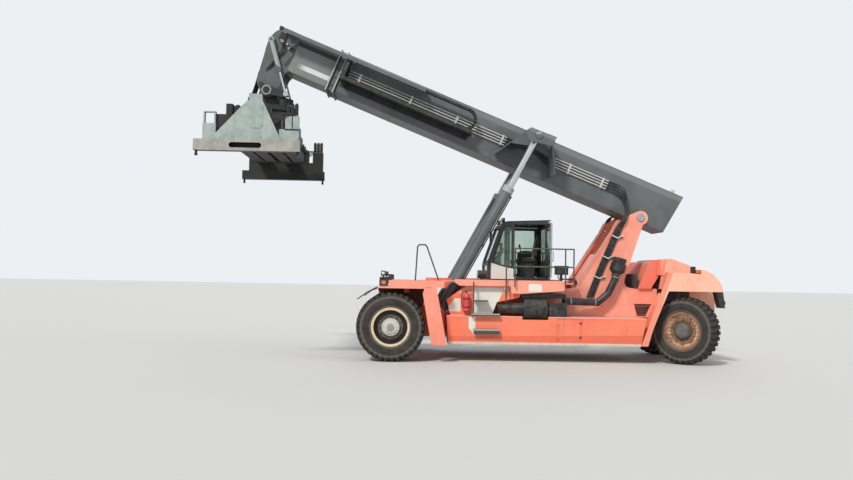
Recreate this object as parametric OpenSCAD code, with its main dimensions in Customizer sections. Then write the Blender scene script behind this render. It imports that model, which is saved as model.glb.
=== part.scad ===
// Reach stacker with a telescopic boom and a rotating twenty foot container spreader.
// X runs from the boom's head to the tail, Z is up, and the machine's left side is at -Y.
// Every module first draws in machine coordinates, with X = 0 at the front axle.

/* [Machine] */
// Distance from the front axle to the steering kingpins
wheel_base = 7180; // [6900:20:7400]
// Height of the chassis underside
belly_z = 520; // [480:10:560]
// Half width over the side boxes
side_y = 1620; // [1560:10:1660]
// Height of the lower edge of the side boxes
side_low_z = 410; // [380:10:460]
// Height of the top of the side boxes
side_top_z = 1090; // [1040:10:1140]
// Height of the walking deck
deck_z = 1950; // [1900:10:1980]
// Overhang of the counterweight behind the kingpins
rear_overhang = 920; // [900:10:1020]

/* [Tyres] */
// Tyre diameter
tyre_d = 1620; // [1580:10:1640]
// Tyre width
tyre_w = 500; // [460:10:510]
// Rim diameter at the bead
rim_d = 850; // [820:10:870]
// Distance from the centre line to the outer front tyre's middle
front_tyre_y = 1780; // [1760:10:1800]
// Gap between the twin front tyres
twin_gap = 70; // [50:5:90]
// Distance from the centre line to a kingpin
kingpin_y = 1300; // [1280:10:1320]
// Distance from the kingpin to the rear tyre's middle
rear_offset = 100; // [80:5:120]
// Steering angle of the rear wheels as they stand
steer_angle = 40; // [0:1:40]

/* [Boom] */
// Boom foot pin, distance behind the front axle
pivot_x = 6150; // [6100:10:6200]
// Boom foot pin, height
pivot_z = 3550; // [3520:10:3600]
// Boom angle as it stands
boom_angle = 22; // [0:1:60]
// Width of the outer boom
boom_w = 1000; // [940:10:1020]
// Height of the outer boom
boom_h = 1030; // [980:10:1060]
// Plate thickness of the outer boom
boom_wall = 18; // [12:1:22]
// Distance from the foot pin to the outer boom's front collar
collar_s = 8540; // [8300:20:8700]
// Plate thickness of the inner boom
inner_wall = 15; // [10:1:20]
// Gap between the outer boom's walls and the inner boom
slide_gap = 22; // [15:1:25]
// Distance from the foot pin to the tilt pin
tilt_s = 9875; // [9700:25:10100]
// Depth of the tilt pin below the foot pin's line
tilt_t = -678; // [-720:2:-640]
// Radius of the tilt pin
tilt_pin_r = 90; // [80:5:100]

/* [Lifting cylinders] */
// Base pin, distance behind the front axle
lift_x = 1160; // [1140:10:1180]
// Base pin, height
lift_z = 1150; // [1120:10:1180]
// Distance from the centre line to each cylinder
lift_y = 1150; // [1130:10:1170]
// Barrel radius
lift_barrel_r = 130; // [110:5:140]
// Rod radius
lift_rod_r = 90; // [80:5:100]
// Length of the barrel from the base pin to the gland
lift_barrel_len = 3490; // [3400:10:3500]
// Upper pin, distance along the boom from the foot pin
lift_pin_s = 3165; // [3140:5:3200]
// Upper pin, height above the foot pin's line
lift_pin_t = 814; // [800:2:830]
// Radius of the cylinder pins
lift_pin_r = 60; // [50:5:65]

/* [Cab] */
// Front face of the cab, distance behind the front axle
cab_x = 2360; // [2340:10:2400]
// Length of the cab
cab_len = 1560; // [1540:10:1600]
// Half width of the cab
cab_y = 800; // [760:10:820]
// Height of the cab's underside
cab_z = 1975; // [1970:5:1990]
// Height of the roof at the rear
cab_top_z = 3460; // [3420:10:3470]
// Wall thickness
cab_wall = 55; // [45:5:60]
// Opening angle of the left door as it stands
door_angle = 90; // [0:1:90]

/* [Spreader] */
// Distance between the twistlocks across the container
lock_x = 2259; // [2259]
// Distance between the twistlocks along the container
lock_y = 5853; // [5853]
// Length of the end beams
end_beam_len = 2360; // [2340:5:2440]
// Height of the end beams' underside
end_beam_z = 4720; // [4700:10:4740]
// Height of the end beams
end_beam_h = 250; // [230:10:260]
// Underside of the main beam
main_beam_z = 5120; // [5080:10:5160]
// Height of the main beam
main_beam_h = 430; // [400:10:440]

/* [Hidden] */
$fn = 64;

// Running clearance on a radius
fit = 0.05;
// Cut that reaches past a face
over = 1;
// Gap left where two pieces only seat on each other
pad_gap = 0.3;

// Boom directions: forward along the boom and up from it
function boom_x(s, t) = pivot_x - s * cos(boom_angle) + t * sin(boom_angle);
function boom_z(s, t) = pivot_z + s * sin(boom_angle) + t * cos(boom_angle);
tilt_x = boom_x(tilt_s, tilt_t);
tilt_z = boom_z(tilt_s, tilt_t);

// The frame's origin lies under the middle of the whole length
beam_front_x = tilt_x - end_beam_len / 2;
tail_x = wheel_base + rear_overhang;
mid_x = (beam_front_x + tail_x) / 2;

wheel_z = tyre_d / 2;
rim_r = rim_d / 2;
twin_pitch = tyre_w + twin_gap;

// Colours
red = [0.80, 0.36, 0.29];
grey = [0.36, 0.38, 0.38];
dark = [0.12, 0.12, 0.12];
pale = [0.72, 0.72, 0.66];
steel = [0.62, 0.63, 0.64];

module place() translate([-mid_x, 0, 0]) children();
module boom_place() place() translate([pivot_x, 0, pivot_z]) rotate([0, boom_angle, 0]) children();
module spread_place() place() translate([tilt_x, 0, 0]) children();
module pair() {
    children();
    mirror([0, 1, 0]) children();
}
// Box between two corners
module span(a, b) translate(a) cube(b - a);
// Outline in X and Z, w thick in Y about the plane y
module plate(points, y, w) translate([0, y + w / 2, 0]) rotate([90, 0, 0]) linear_extrude(w) polygon(points);
// The same in boom coordinates: distance along the boom, height above its line
module boom_plate(points, y, w) plate([for (p = points) [-p[0], p[1]]], y, w);
// Cylinder along Y about the plane y
module rod_y(x, z, r, y, w) translate([x, y + w / 2, z]) rotate([90, 0, 0]) cylinder(r = r, h = w);
// Straight tube between two points
module tube(a, b, r) {
    v = b - a;
    len = norm(v);
    translate(a) rotate([0, acos(v[2] / len), atan2(v[1], v[0])]) cylinder(r = r, h = len, $fn = 16);
}
// Tube along a row of points, with a ball at each bend
module bent_tube(points, r) {
    for (i = [0 : len(points) - 2]) tube(points[i], points[i + 1], r);
    for (i = [1 : len(points) - 2]) translate(points[i]) sphere(r = r + 0.4, $fn = 16);
}

/* Chassis */
// Front edge of the tower's plates
tower_x0 = 4020;
rocking_z = wheel_z + 170;
rail_y = 530;
rail_w = 210;
rail_top_z = 1300;
frame_y = 870;
frame_plate = 30;
tower_plate = 40;
tower_y = 880;
pivot_boss_r = 175;
pivot_pin_r = 95;

module chassis_frame() color(red) place() difference() {
    union() {
        pair() {
            // Main side rail
            plate([[-560, 620], [-560, 1240], [-380, rail_top_z], [6500, rail_top_z], [7420, 1200],
                   [7420, 1085], [6860, 1085], [6500, belly_z + 40], [600, belly_z], [-380, belly_z]],
                  rail_y, rail_w);
            // Outrigger and ears of the lifting cylinder
            span([lift_x - 190, rail_y, 700], [lift_x + 150, lift_y + 145, 950]);
            for (y = [lift_y - 115, lift_y + 115])
                plate([[lift_x - 160, 950], [lift_x - 110, lift_z + 60], [lift_x - 40, lift_z + 115],
                       [lift_x + 60, lift_z + 105], [lift_x + 115, lift_z + 40], [lift_x + 145, 950]], y, 40);
            // Upper side plate that carries the deck
            plate([[1960, rail_top_z - 20], [1960, deck_z - 50], [tower_x0, deck_z - 50],
                   [tower_x0, rail_top_z - 20]], frame_y, frame_plate);
            // Cab rail
            span([860, 560, cab_z - 115], [4240, 640, cab_z - 0.3]);
        }
        // Front nose plate and cross members
        span([-600, -rail_y - 105, 700], [-540, rail_y + 105, 1220]);
        span([900, -rail_y, 620], [1420, rail_y, 900]);
        span([2500, -rail_y, 600], [2800, rail_y, 900]);
        span([5700, -rail_y, 620], [6400, rail_y, rail_top_z]);
        // Deck structure under the cab
        span([860, -frame_y - 15, deck_z - 220], [1480, frame_y + 15, deck_z - 90]);
        span([1460, -frame_y, rail_top_z - 20], [tower_x0, frame_y, rail_top_z + 40]);
        span([tower_x0 - 80, -frame_y, rail_top_z + 40], [tower_x0, frame_y, deck_z - 50]);
        for (x = [900, 2200, 3300]) span([x, -640, rail_top_z + 39], [x + 80, 640, cab_z - 116]);
        // Hangers of the steering axle's rocking shaft
        for (x = [6870, 7400]) span([x, -rail_y, 850], [x + 50, rail_y, rail_top_z - 100]);
    }
    // Way through for the propeller shaft and the rocking shaft
    translate([800, 0, wheel_z]) rotate([0, 90, 0]) cylinder(r = 80, h = 5700);
    translate([6800, 0, rocking_z]) rotate([0, 90, 0]) cylinder(r = 100 + fit, h = 700);
    // Bore of the base pin stays for the pin itself
    pair() rod_y(lift_x, lift_z, lift_pin_r, lift_y, 300);
    // Clearance for the drive shaft and the axle
    rod_y(0, wheel_z, axle_r + pad_gap, 0, 2 * rail_y + 300);
}

// Front wheel arch: flat top, sloping rear leg, box step and lamp arm
arch_y0 = 900;
arch_y1 = 2010;
module front_fenders() color(red) place() pair() {
    arch_mid = (arch_y0 + arch_y1) / 2;
    arch_w = arch_y1 - arch_y0;
    plate([[-320, 1715], [-320, 1745], [820, 1745], [860, 1715]], arch_mid, arch_w);
    plate([[-320, 1745], [-300, 1745], [-300, 1660], [-320, 1660]], arch_mid, arch_w);
    // Sloping leg, a folded plate open to the wheel
    plate([[780, 1730], [1050, 1745], [1310, 410], [960, 410], [930, 560], [740, 1600]], arch_y1 - 15, 30);
    plate([[1035, 1745], [1060, 1745], [1320, 410], [1290, 410]], (1330 + arch_y1) / 2, arch_y1 - 1330);
    // Box step on top
    difference() {
        span([-60, 1280, 1745], [1240, arch_y1 - 10, 1905]);
        span([-40, 1300, 1740], [1220, arch_y1 - 30, 1885]);
    }
    // Carrier between the arch and the frame
    span([300, rail_y + rail_w / 2, 1600], [420, 1290, 1715]);
    span([300, rail_y + rail_w / 2, 1200], [420, 700, 1601]);
    // Lamp arm
    span([-220, 1880, 1745], [-150, 1960, 1780]);
    // Inner liner
    plate([[-320, 1716], [-320, 1250], [760, 1250], [860, 1716]], arch_y0 + 5, 12);
}

axle_r = 200;
spindle_r = 105;
housing_r = 95;
housing_h = 170;
module axles() color(dark) place() {
    // Drive axle with its two spindles and the differential
    difference() {
        union() {
            rod_y(0, wheel_z, axle_r, 0, 1760);
            rod_y(0, wheel_z, spindle_r, 0, 2 * (front_tyre_y + 60));
            rod_y(0, wheel_z, 300, 0, 420);
            translate([300, 0, wheel_z]) rotate([0, 90, 0]) cylinder(r = 120, h = 260);
        }
    }
    // Drive shaft and gearbox
    translate([540, 0, wheel_z]) rotate([0, 90, 0]) cylinder(r = 60, h = 3300);
    span([3840, -330, 560], [4900, 330, 1180]);
    // Steering axle beam, tapered to the kingpins
    difference() {
        union() {
            translate([wheel_base, 0, wheel_z - 130]) linear_extrude(260)
                polygon([[-190, -500], [-190, 500], [-90, 900], [-85, kingpin_y], [85, kingpin_y],
                         [90, 900], [190, 500], [190, -500], [90, -900], [85, -kingpin_y],
                         [-85, -kingpin_y], [-90, -900]]);
            pair() translate([wheel_base, kingpin_y, wheel_z - housing_h]) cylinder(r = housing_r, h = 2 * housing_h);
            translate([wheel_base - 320, 0, rocking_z]) rotate([0, 90, 0]) cylinder(r = 100, h = 595);
            rod_y(wheel_base - 270, wheel_z - 70, 75, 0, 900);
            pair() span([wheel_base - 290, 330, wheel_z - 100], [wheel_base - 150, 390, wheel_z + 20]);
        }
        pair() translate([wheel_base, kingpin_y, wheel_z - 300]) cylinder(r = 40 + fit, h = 600);
    }
}

// Side boxes: long lower box on each side, walking deck above it with its edge plate
box_x0 = 1350;
box_x1 = 6000;
// Tray of the air cleaner, open above and to the left
tray_x0 = 3130;
tray_x1 = 3755;
tray_y = -1110;
tray_z = 1015;
tray_wall = 20;
module side_boxes() color(red) place() {
    difference() {
        span([tray_x0 - tray_wall, -side_y, tray_z - tray_wall], [tray_x1 + tray_wall, tray_y + tray_wall, side_top_z]);
        span([tray_x0, -side_y - over, tray_z], [tray_x1, tray_y, side_top_z + over]);
    }
    difference() {
        pair() difference() {
            plate([[box_x0 + 20, side_low_z], [box_x0 - 30, side_top_z], [box_x1 + 115, side_top_z],
                   [box_x1 - 25, side_low_z]], (side_y + 900) / 2, side_y - 900);
            // The box is plate all round
            plate([[box_x0 + 60, side_low_z + 30], [box_x0 + 20, side_top_z - 30], [box_x1 + 70, side_top_z - 30],
                   [box_x1 - 60, side_low_z + 30]], (side_y + 870) / 2 - 20, side_y - 900 + 10);
        }
        // Opening of the battery hatch on the left
        hatch_cut(0);
        // Tray for the air cleaner's canister, let into the left box
        span([tray_x0, -side_y - over, tray_z], [tray_x1, tray_y, side_top_z + over]);
    }
    // Hinge pins of the battery hatch
    for (z = hatch_hinge_zs) {
        translate([hatch_hinge_x, hatch_hinge_y, z - 20]) cylinder(r = 6, h = 80, $fn = 32);
        span([hatch_hinge_x - 12, hatch_hinge_y - 8, z - 20], [hatch_hinge_x + 8, -side_y + 1, z]);
    }
    pair() {
        // Bulkheads inside the box
        for (x = [2150, 3900]) span([x, 900, side_low_z + 20], [x + 20, side_y - 20, side_top_z - 20]);
        // Deck plate and edge plate
        span([1960, frame_y + 15, deck_z - 50], [4200, side_y - 20, deck_z - 30]);
        span([1240, lift_y + 160, deck_z - 50], [1961, side_y - 20, deck_z - 30]);
        plate([[1620, 1800], [1500, 1880], [1500, deck_z], [4190, deck_z], [4150, 1790], [4110, 1712], [3110, 1630],
               [2860, 1640], [2840, 1805]], side_y - 10, 20);
        // Front upper panel beside the steps
        plate([[1420, side_top_z], [1320, 1470], [1640, 1690], [1960, deck_z - 45], [3110, deck_z - 45], [3110, 1630],
               [3060, 1540], [2900, 1500], [2530, 1420], [2430, 1160], [2420, side_top_z]], side_y - 140, 20);
        span([1430, lift_y + 160, side_top_z], [1455, side_y - 149, 1480]);
        // Brackets that hold the handrail's posts and the grab poles
        for (x = concat([for (p = poles) p[0]], [rail_x0, rail_x1 - 200]))
            span([x - 15, side_y - 15, 1820], [x + 15, rail_out - rail_r - pad_gap, 1850]);
        span([4160, side_y - 60, deck_z - 75], [rail_x1 + 20, rail_out - rail_r - pad_gap, deck_z - 49]);
        // Brackets under the deck
        for (x = [2700, 4080]) span([x, frame_y + 15, 1700], [x + 20, side_y - 20, deck_z - 50]);
    }
}
hatch_x0 = 3960;
hatch_x1 = 4580;
hatch_z0 = 500;
hatch_z1 = 1040;
hatch_hinge_x = hatch_x0 - 5;
hatch_hinge_y = -side_y - 14;
hatch_hinge_zs = [hatch_z0 + 60, hatch_z1 - 140];
module hatch_cut(gap) plate([[hatch_x0 - gap, hatch_z0 - gap], [hatch_x0 - gap, hatch_z1 + gap],
    [hatch_x1 + gap, hatch_z1 + gap], [hatch_x1 - 90 + gap, hatch_z0 - gap]], -side_y, 90);
module side_hatch() color(red) place() {
    plate([[hatch_x0 + 6, hatch_z0 + 6], [hatch_x0 + 6, hatch_z1 - 6], [hatch_x1 - 6, hatch_z1 - 6],
           [hatch_x1 - 96, hatch_z0 + 6]], -side_y + 12, 24);
    // Knuckles on the box's hinge pins
    for (z = hatch_hinge_zs) difference() {
        union() {
            translate([hatch_hinge_x, hatch_hinge_y, z + 1]) cylinder(r = 11, h = 58, $fn = 32);
            span([hatch_hinge_x, hatch_hinge_y - 11, z + 1], [hatch_x0 + 40, -side_y - pad_gap, z + 59]);
            span([hatch_x0 + 8, -side_y - 8, z + 1], [hatch_x0 + 40, -side_y, z + 59]);
        }
        translate([hatch_hinge_x, hatch_hinge_y, z]) cylinder(r = 6 + fit, h = 60, $fn = 32);
    }
}

// Boom tower: two plates that widen into the frame, with the foot pin at the top
module tower() color(red) place() difference() {
    union() {
        pair() {
            plate([[tower_x0, side_top_z], [tower_x0, 1700], [4300, 1760], [4440, 1775], [4560, 1800],
                   [4660, 1890], [5520, 3240], [5640, 3470], [5900, 3640], [pivot_x, pivot_z + pivot_boss_r],
                   [6260, 3690], [6320, 3600], [6300, 3470], [6220, 3440], [5760, 2040],
                   [5745, 1940], [5790, 1850], [5880, 1810], [5960, 1800], [6560, 1800], [6560, 1350],
                   [6480, side_top_z]], tower_y - tower_plate / 2, tower_plate);
            rod_y(pivot_x, pivot_z, pivot_boss_r, tower_y - 120, 240);
            // Flanges along the front and the back edge
            plate([[4560, 1800], [4660, 1890], [5520, 3240], [5640, 3470], [5600, 3500], [5480, 3260],
                   [4630, 1930], [4540, 1850]], tower_y - 150, 300);
            // Foot of the tower on the frame
            span([4300, 600, rail_top_z + 40], [6500, tower_y - tower_plate, rail_top_z + 100]);
        }
        // Cross box between the plates
        plate([[4700, rail_top_z], [4700, 1900], [5180, 2660], [5400, 2660], [5400, rail_top_z]], 0, 2 * tower_y - 80);
        plate([[5680, rail_top_z], [5680, 2040], [5880, 2640], [5940, 2620], [5760, 2040], [5740, rail_top_z]],
              0, 2 * tower_y - 80);
    }
    // Lifting eye in the shoulder of each plate
    pair() rod_y(5620, 3330, 45, tower_y - 20, 400);
    // Bore of the foot pin
    rod_y(pivot_x, pivot_z, pivot_pin_r + fit, 0, 3000);
    // Cooling opening low in each plate
    pair() plate([[5990, 1420], [6430, 1420], [6280, 1115], [6070, 1115]], tower_y, 200);
}

// Counterweight: cast slab over the rear wheels and a block behind the axle
module counterweight() color(red) place() {
    difference() {
        union() {
            plate([[6560, 1755], [6630, 2205], [7140, 2195], [wheel_base + 250, 2175], [wheel_base + 250, 2280],
                   [wheel_base + 330, 2270], [tail_x - 500, 2235], [tail_x - 420, 2195], [tail_x - 350, 2140],
                   [tail_x - 275, 2060], [tail_x - 210, 1970], [tail_x - 165, 1880], [tail_x - 140, 1755]],
                  0, 2 * (side_y - 10));
            plate([[wheel_base + 280, 1760], [wheel_base + 280, 640], [wheel_base + 380, belly_z],
                   [tail_x - 120, belly_z], [tail_x, 700], [tail_x, 1500], [tail_x - 80, 1760]], 0, 1240);
            // Wheel arch panels in front of each rear wheel
            pair() plate([[5990, 430], [6620, 2180], [6700, 2180], [6700, 1755], [6640, 1755], [6450, 1300],
                          [6260, 810], [6150, 430]], side_y - 15, 30);
            pair() plate([[6120, 430], [6150, 430], [6260, 810], [6450, 1300], [6654, 1790], [6624, 1790],
                          [6425, 1315], [6232, 820]], (side_y + 900) / 2, side_y - 900);
        }
        // Towing jaw and its pin bore
        span([tail_x - 180, -110, 860], [tail_x + over, 110, 960]);
        span([tail_x - 180, -80, 1040], [tail_x + over, 80, 1240]);
        translate([tail_x - 90, 0, belly_z - over]) cylinder(r = 25, h = 1080 - belly_z);
        // Engine bay
        span([6540, -1300, 1700], [7300, 1300, 2300]);
        // Room for the hood's seat
        span([7300, -600, 1900], [7500, 600, 2400]);
    }
}

// Hood: sloping front part, middle part and a wider rear part over the counterweight
hood_y = 950;
bay_y = 1300;
hood_t = 35;
module engine_hood() color(red) place() difference() {
    union() {
        plate([[6080, 1800], [6180, 2060], [6310, 2390], [6345, 2450], [6400, 2485], [6560, 2490], [6600, 2300],
               [6600, 2140], [6440, 1880], [6400, 1800]], 0, 2 * hood_y);
        plate([[6520, 2140], [6540, 2450], [6570, 2515], [6610, 2530], [6760, 2505], [6760, 2140]], 0, 2 * hood_y + 80);
        plate([[6610, 2140], [6640, 2340], [6695, 2500], [6730, 2540], [6790, 2545], [7240, 2385], [7255, 2370],
               [7255, 2140]], 0, 2 * bay_y);
    }
    plate([[6110, 1790], [6215, 2050], [6345, 2380], [6400, 2445], [6560, 2455], [6780, 2480], [7205, 2340],
           [7205, 2130], [6630, 2130], [6400, 1790]], 0, 2 * (hood_y - hood_t));
    plate([[6660, 2130], [6680, 2340], [6725, 2480], [6780, 2495], [7205, 2345], [7205, 2130]], 0, 2 * (bay_y - hood_t));
}

// Engine in its bay, and the cooler that stands ahead of the hood
module engine_block() color(dark) place() {
    span([6600, -520, rail_top_z + 0.5], [7204.7, 520, 2300]);
    span([5990, -900, 1800.5], [6079.8, 900, 2160]);
}

// Handrails of the deck, the entry steps and their grab poles
rail_out = side_y + 90;
rail_r = 17;
rail_x0 = 2930;
rail_x1 = 4330;
rail_z = 2710;
// Grab poles: x, foot, head
poles = [[1950, 1140, 1900], [2720, 1420, 2450]];
// Entry steps: height, x from, x to, thickness
steps = [[785, 1970, 2580, 120], [1150, 1900, 2580, 60], [1460, 1980, 2300, 25]];
module deck_rails() color(dark) place() {
    // Hoop on the left front arch
    bent_tube([[560, -1950, 1906], [600, -1950, 2700], [640, -1950, 2745], [780, -1950, 2745],
               [820, -1950, 2700], [1108, -1950, 1911]], rail_r);
    pair() side_rails();
}
module side_rails() {
    r = rail_r;
    // Deck handrail
    bent_tube([[rail_x0, rail_out, 1800], [rail_x0, rail_out, rail_z], [rail_x1, rail_out, rail_z],
               [rail_x1, rail_out, 1850]], r);
    bent_tube([[rail_x0, rail_out, 2280], [rail_x1, rail_out, 2280]], r);
    tube([rail_x1 - 200, rail_out, 1800], [rail_x1 - 200, rail_out, rail_z], r);
    // Entry steps
    for (f = steps) {
        // The upper steps reach in to the recessed panel
        inner = f[0] > side_top_z ? side_y - 130 : side_y;
        span([f[1], inner, f[0] - f[3]], [f[2], side_y + 120, f[0]]);
    }
    // Grab poles
    for (p = poles) tube([p[0], rail_out, p[1]], [p[0], rail_out, p[2]], r);
}

// Air cleaner with its cone, canister, duct and pre-cleaner on the left
module air_intake() color(dark) place() {
    y = -1400;
    r = 250;
    band_t = 6;
    mid_z = tray_z + r + band_t + pad_gap;
    // Canister lies along the machine, between the inlet and the filter box
    translate([3165, y, mid_z]) rotate([0, 90, 0]) cylinder(r = r, h = 560);
    for (x = [3260, 3440, 3620]) translate([x, y, mid_z]) rotate([0, 90, 0]) cylinder(r = r + band_t, h = 22);
    translate([2640, y, mid_z]) rotate([0, 90, 0]) cylinder(r1 = 100, r2 = 150, h = 526);
    translate([2545, y, mid_z]) rotate([0, 90, 0]) cylinder(r = 120, h = 96);
    translate([3700, y, mid_z]) rotate([0, 90, 0]) cylinder(r = 110, h = 80);
    span([3775, y - 130, side_top_z + pad_gap], [4210, y + 150, 1415]);
    // Duct to the tower and up to the pre-cleaner
    bent_tube([[4160, -1290, 1470], [5040, -1090, 1440], [5290, -1090, 1660], [5470, -1090, 2030]], 88);
    translate([5455, -1090, 2010]) rotate([0, 14, 0]) {
        cylinder(r = 88, h = 150);
        translate([0, 0, 130]) cylinder(r1 = 95, r2 = 185, h = 90);
        translate([0, 0, 219]) cylinder(r = 185, h = 190);
        translate([0, 0, 408]) cylinder(r = 150, h = 40);
        translate([0, 0, 447]) cylinder(r = 165, h = 95);
    }
    span([3130, -1460, 1526], [4190, -1090, 1640]);
}

module work_lamps() color(dark) place() {
    pair() {
        // Pair of lamps on the front arch
        span([-275, 1860, 1780], [-85, 1990, 1975]);
        translate([-190, 1925, 1974]) cylinder(r = 18, h = 40);
        translate([-240, 1925, 2062]) rotate([0, 90, 0]) cylinder(r = 62, h = 100);
        span([-86, 1895, 1905.3], [15, 1955, 1950]);
        translate([-28, 1925, 1949]) cylinder(r = 40, h = 95);
        // Tail lamp and flap
        plate([[tail_x - 310, 1754.8], [tail_x - 145, 1754.8], [tail_x - 95, 1370], [tail_x - 205, 1370]], 1450, 300);
        // Flap ahead of the front arch
        plate([[-320, 1700], [-560, 1600], [-780, 1440], [-795, 1455], [-565, 1625], [-340, 1745], [-320.3, 1745]],
              1740, 520);
    }
    // Round lamp in front of the cab
    translate([2050, -1480, 2080]) rotate([0, 90, 0]) cylinder(r = 98, h = 220);
    span([2120, -1500, deck_z - 30], [2190, -1460, 1990]);
    // Lamp and dark box behind the hood
    span([7255.3, -1290, 2188], [7390, -1180, 2360]);
    translate([7380, -1500, 2181.8]) cylinder(r = 45, h = 90);
    // Junction box on the left of the deck
    span([3925, -1530, 2100], [4230, -1380, 2305]);
    span([4040, -1480, deck_z - 30], [4100, -1430, 2101]);
}

module tower_hoses() color(dark) place() pair() {
    for (i = [0 : 3])
        bent_tube([[4820 + i * 45, tower_y + 26, 1560], [5080 + i * 45, tower_y + 26, 2240],
                   [5420 + i * 50, tower_y + 26, 3050], [5480 + i * 50, tower_y + 26, 3190]], 20);
    // Clamps
    for (c = [[5010, 2060], [5220, 2560], [5450, 3070]])
        span([c[0] - 20, tower_y, c[1] - 25], [c[0] + 230, tower_y + 50, c[1] + 25]);
}

/* Wheels */
// Tyre about the Y axis, its middle at y = 0
module tyre() rotate([90, 0, 0]) rotate_extrude($fn = 128) {
    r = tyre_d / 2;
    h = tyre_w / 2;
    polygon([[rim_r, -h + 60], [rim_r + 25, -h + 60], [rim_r + 60, -h + 20], [rim_r + 180, -h], [r - 170, -h + 4], [r - 70, -h + 26],
             [r - 22, -h + 60], [r, -h + 90], [r, h - 90], [r - 22, h - 60], [r - 70, h - 26],
             [r - 170, h - 4], [rim_r + 180, h], [rim_r + 60, h - 20], [rim_r + 25, h - 60],
             [rim_r, h - 60]]);
}
// Rim barrel, its middle at y = 0
module rim_barrel() rotate([90, 0, 0]) rotate_extrude($fn = 96) {
    h = tyre_w / 2;
    polygon([[rim_r - 30, -h + 45], [rim_r + 25, -h + 45], [rim_r + 25, -h + 60], [rim_r, -h + 60],
             [rim_r, h - 60], [rim_r + 25, h - 60], [rim_r + 25, h - 45], [rim_r - 30, h - 45]]);
}
// Twin front wheels at +Y: two tyres on one drum with the hub reduction
module twin_tyres() for (i = [0, 1]) translate([0, front_tyre_y - i * twin_pitch, wheel_z]) tyre();
module twin_rims() difference() {
    union() {
        for (i = [0, 1]) translate([0, front_tyre_y - i * twin_pitch, wheel_z]) rim_barrel();
        // Spacer band between the rims
        difference() {
            rod_y(0, wheel_z, rim_r - 10, front_tyre_y - twin_pitch / 2, twin_pitch - tyre_w + 100);
            rod_y(0, wheel_z, rim_r - 30, front_tyre_y - twin_pitch / 2, twin_pitch);
        }
        // Dished disc and hub
        rod_y(0, wheel_z, rim_r - 29, front_tyre_y + 20, 30);
        rod_y(0, wheel_z, 300, front_tyre_y + 20, 120);
        rod_y(0, wheel_z, 215, front_tyre_y + 100, 120);
        rod_y(0, wheel_z, 150, front_tyre_y + 165, 50);
        rod_y(0, wheel_z, 160, front_tyre_y - 120, 240);
        for (i = [0 : 11]) rotate_about(0, wheel_z, i * 30) rod_y(265, wheel_z, 16, front_tyre_y + 88, 30);
    }
    rod_y(0, wheel_z, spindle_r + fit, front_tyre_y - 200, 2 * 260 + 2 * fit);
}
module rotate_about(x, z, a) translate([x, 0, z]) rotate([0, a, 0]) translate([-x, 0, -z]) children();
module front_right_tyres() color(dark) place() twin_tyres();
module front_left_tyres() color(dark) place() mirror([0, 1, 0]) twin_tyres();
module front_right_rims() color(pale) place() twin_rims();
module front_left_rims() color(pale) place() mirror([0, 1, 0]) twin_rims();

// Steered rear wheel, drawn about its kingpin with the wheel towards +Y
module steered(side) place() translate([wheel_base, side * kingpin_y, wheel_z])
    rotate([0, 0, -steer_angle]) mirror([0, side < 0 ? 1 : 0, 0]) children();
knuckle_t = 45;
module knuckle() difference() {
    union() {
        for (z = [housing_h + 1, -housing_h - 1 - knuckle_t]) {
            translate([0, 0, z]) cylinder(r = housing_r, h = knuckle_t);
            span([-75, 0, z], [75, 150, z + knuckle_t]);
        }
        span([-75, 105, -housing_h - knuckle_t], [75, 150, housing_h + knuckle_t]);
        translate([0, 149, 0]) rotate([-90, 0, 0]) cylinder(r = spindle_r - 15, h = 151);
        translate([0, 0, -housing_h - knuckle_t]) cylinder(r = 40, h = 2 * (housing_h + knuckle_t));
    }
}
module rear_rim() translate([0, rear_offset, 0]) difference() {
    union() {
        rim_barrel();
        rod_y(0, 0, rim_r - 29, 120, 24);
        rod_y(0, 0, 185, 122, 130);
        rod_y(0, 0, 120, 205, 60);
        for (i = [0 : 9]) rotate([0, i * 36, 0]) rod_y(290, 0, 17, 140, 30);
    }
    rod_y(0, 0, spindle_r - 15 + fit, 100, 220);
}
module left_knuckle() color(dark) steered(-1) knuckle();
module right_knuckle() color(dark) steered(1) knuckle();
module rear_left_rim() color(pale) steered(-1) rear_rim();
module rear_right_rim() color(pale) steered(1) rear_rim();
module rear_left_tyre() color(dark) steered(-1) translate([0, rear_offset, 0]) tyre();
module rear_right_tyre() color(dark) steered(1) translate([0, rear_offset, 0]) tyre();

/* Cab */
cab_x1 = cab_x + cab_len;
door_x0 = cab_x + 660;
door_x1 = cab_x1 - 100;
door_z0 = cab_z + 60;
door_z1 = cab_top_z - 120;
door_t = 45;
door_gap = 6;
hinge_x = door_x1 + 22;
hinge_y = cab_y + 26;
cab_out = [[cab_x, cab_z], [cab_x, cab_z + 385], [cab_x + 345, cab_top_z - 90], [cab_x + 470, cab_top_z - 60],
           [cab_x1, cab_top_z], [cab_x1, cab_z]];
cab_in = [[cab_x + cab_wall, cab_z + cab_wall], [cab_x + cab_wall, cab_z + 375],
          [cab_x + 395, cab_top_z - 90 - cab_wall], [cab_x + 470, cab_top_z - 60 - cab_wall],
          [cab_x1 - cab_wall, cab_top_z - cab_wall], [cab_x1 - cab_wall, cab_z + cab_wall]];
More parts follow.
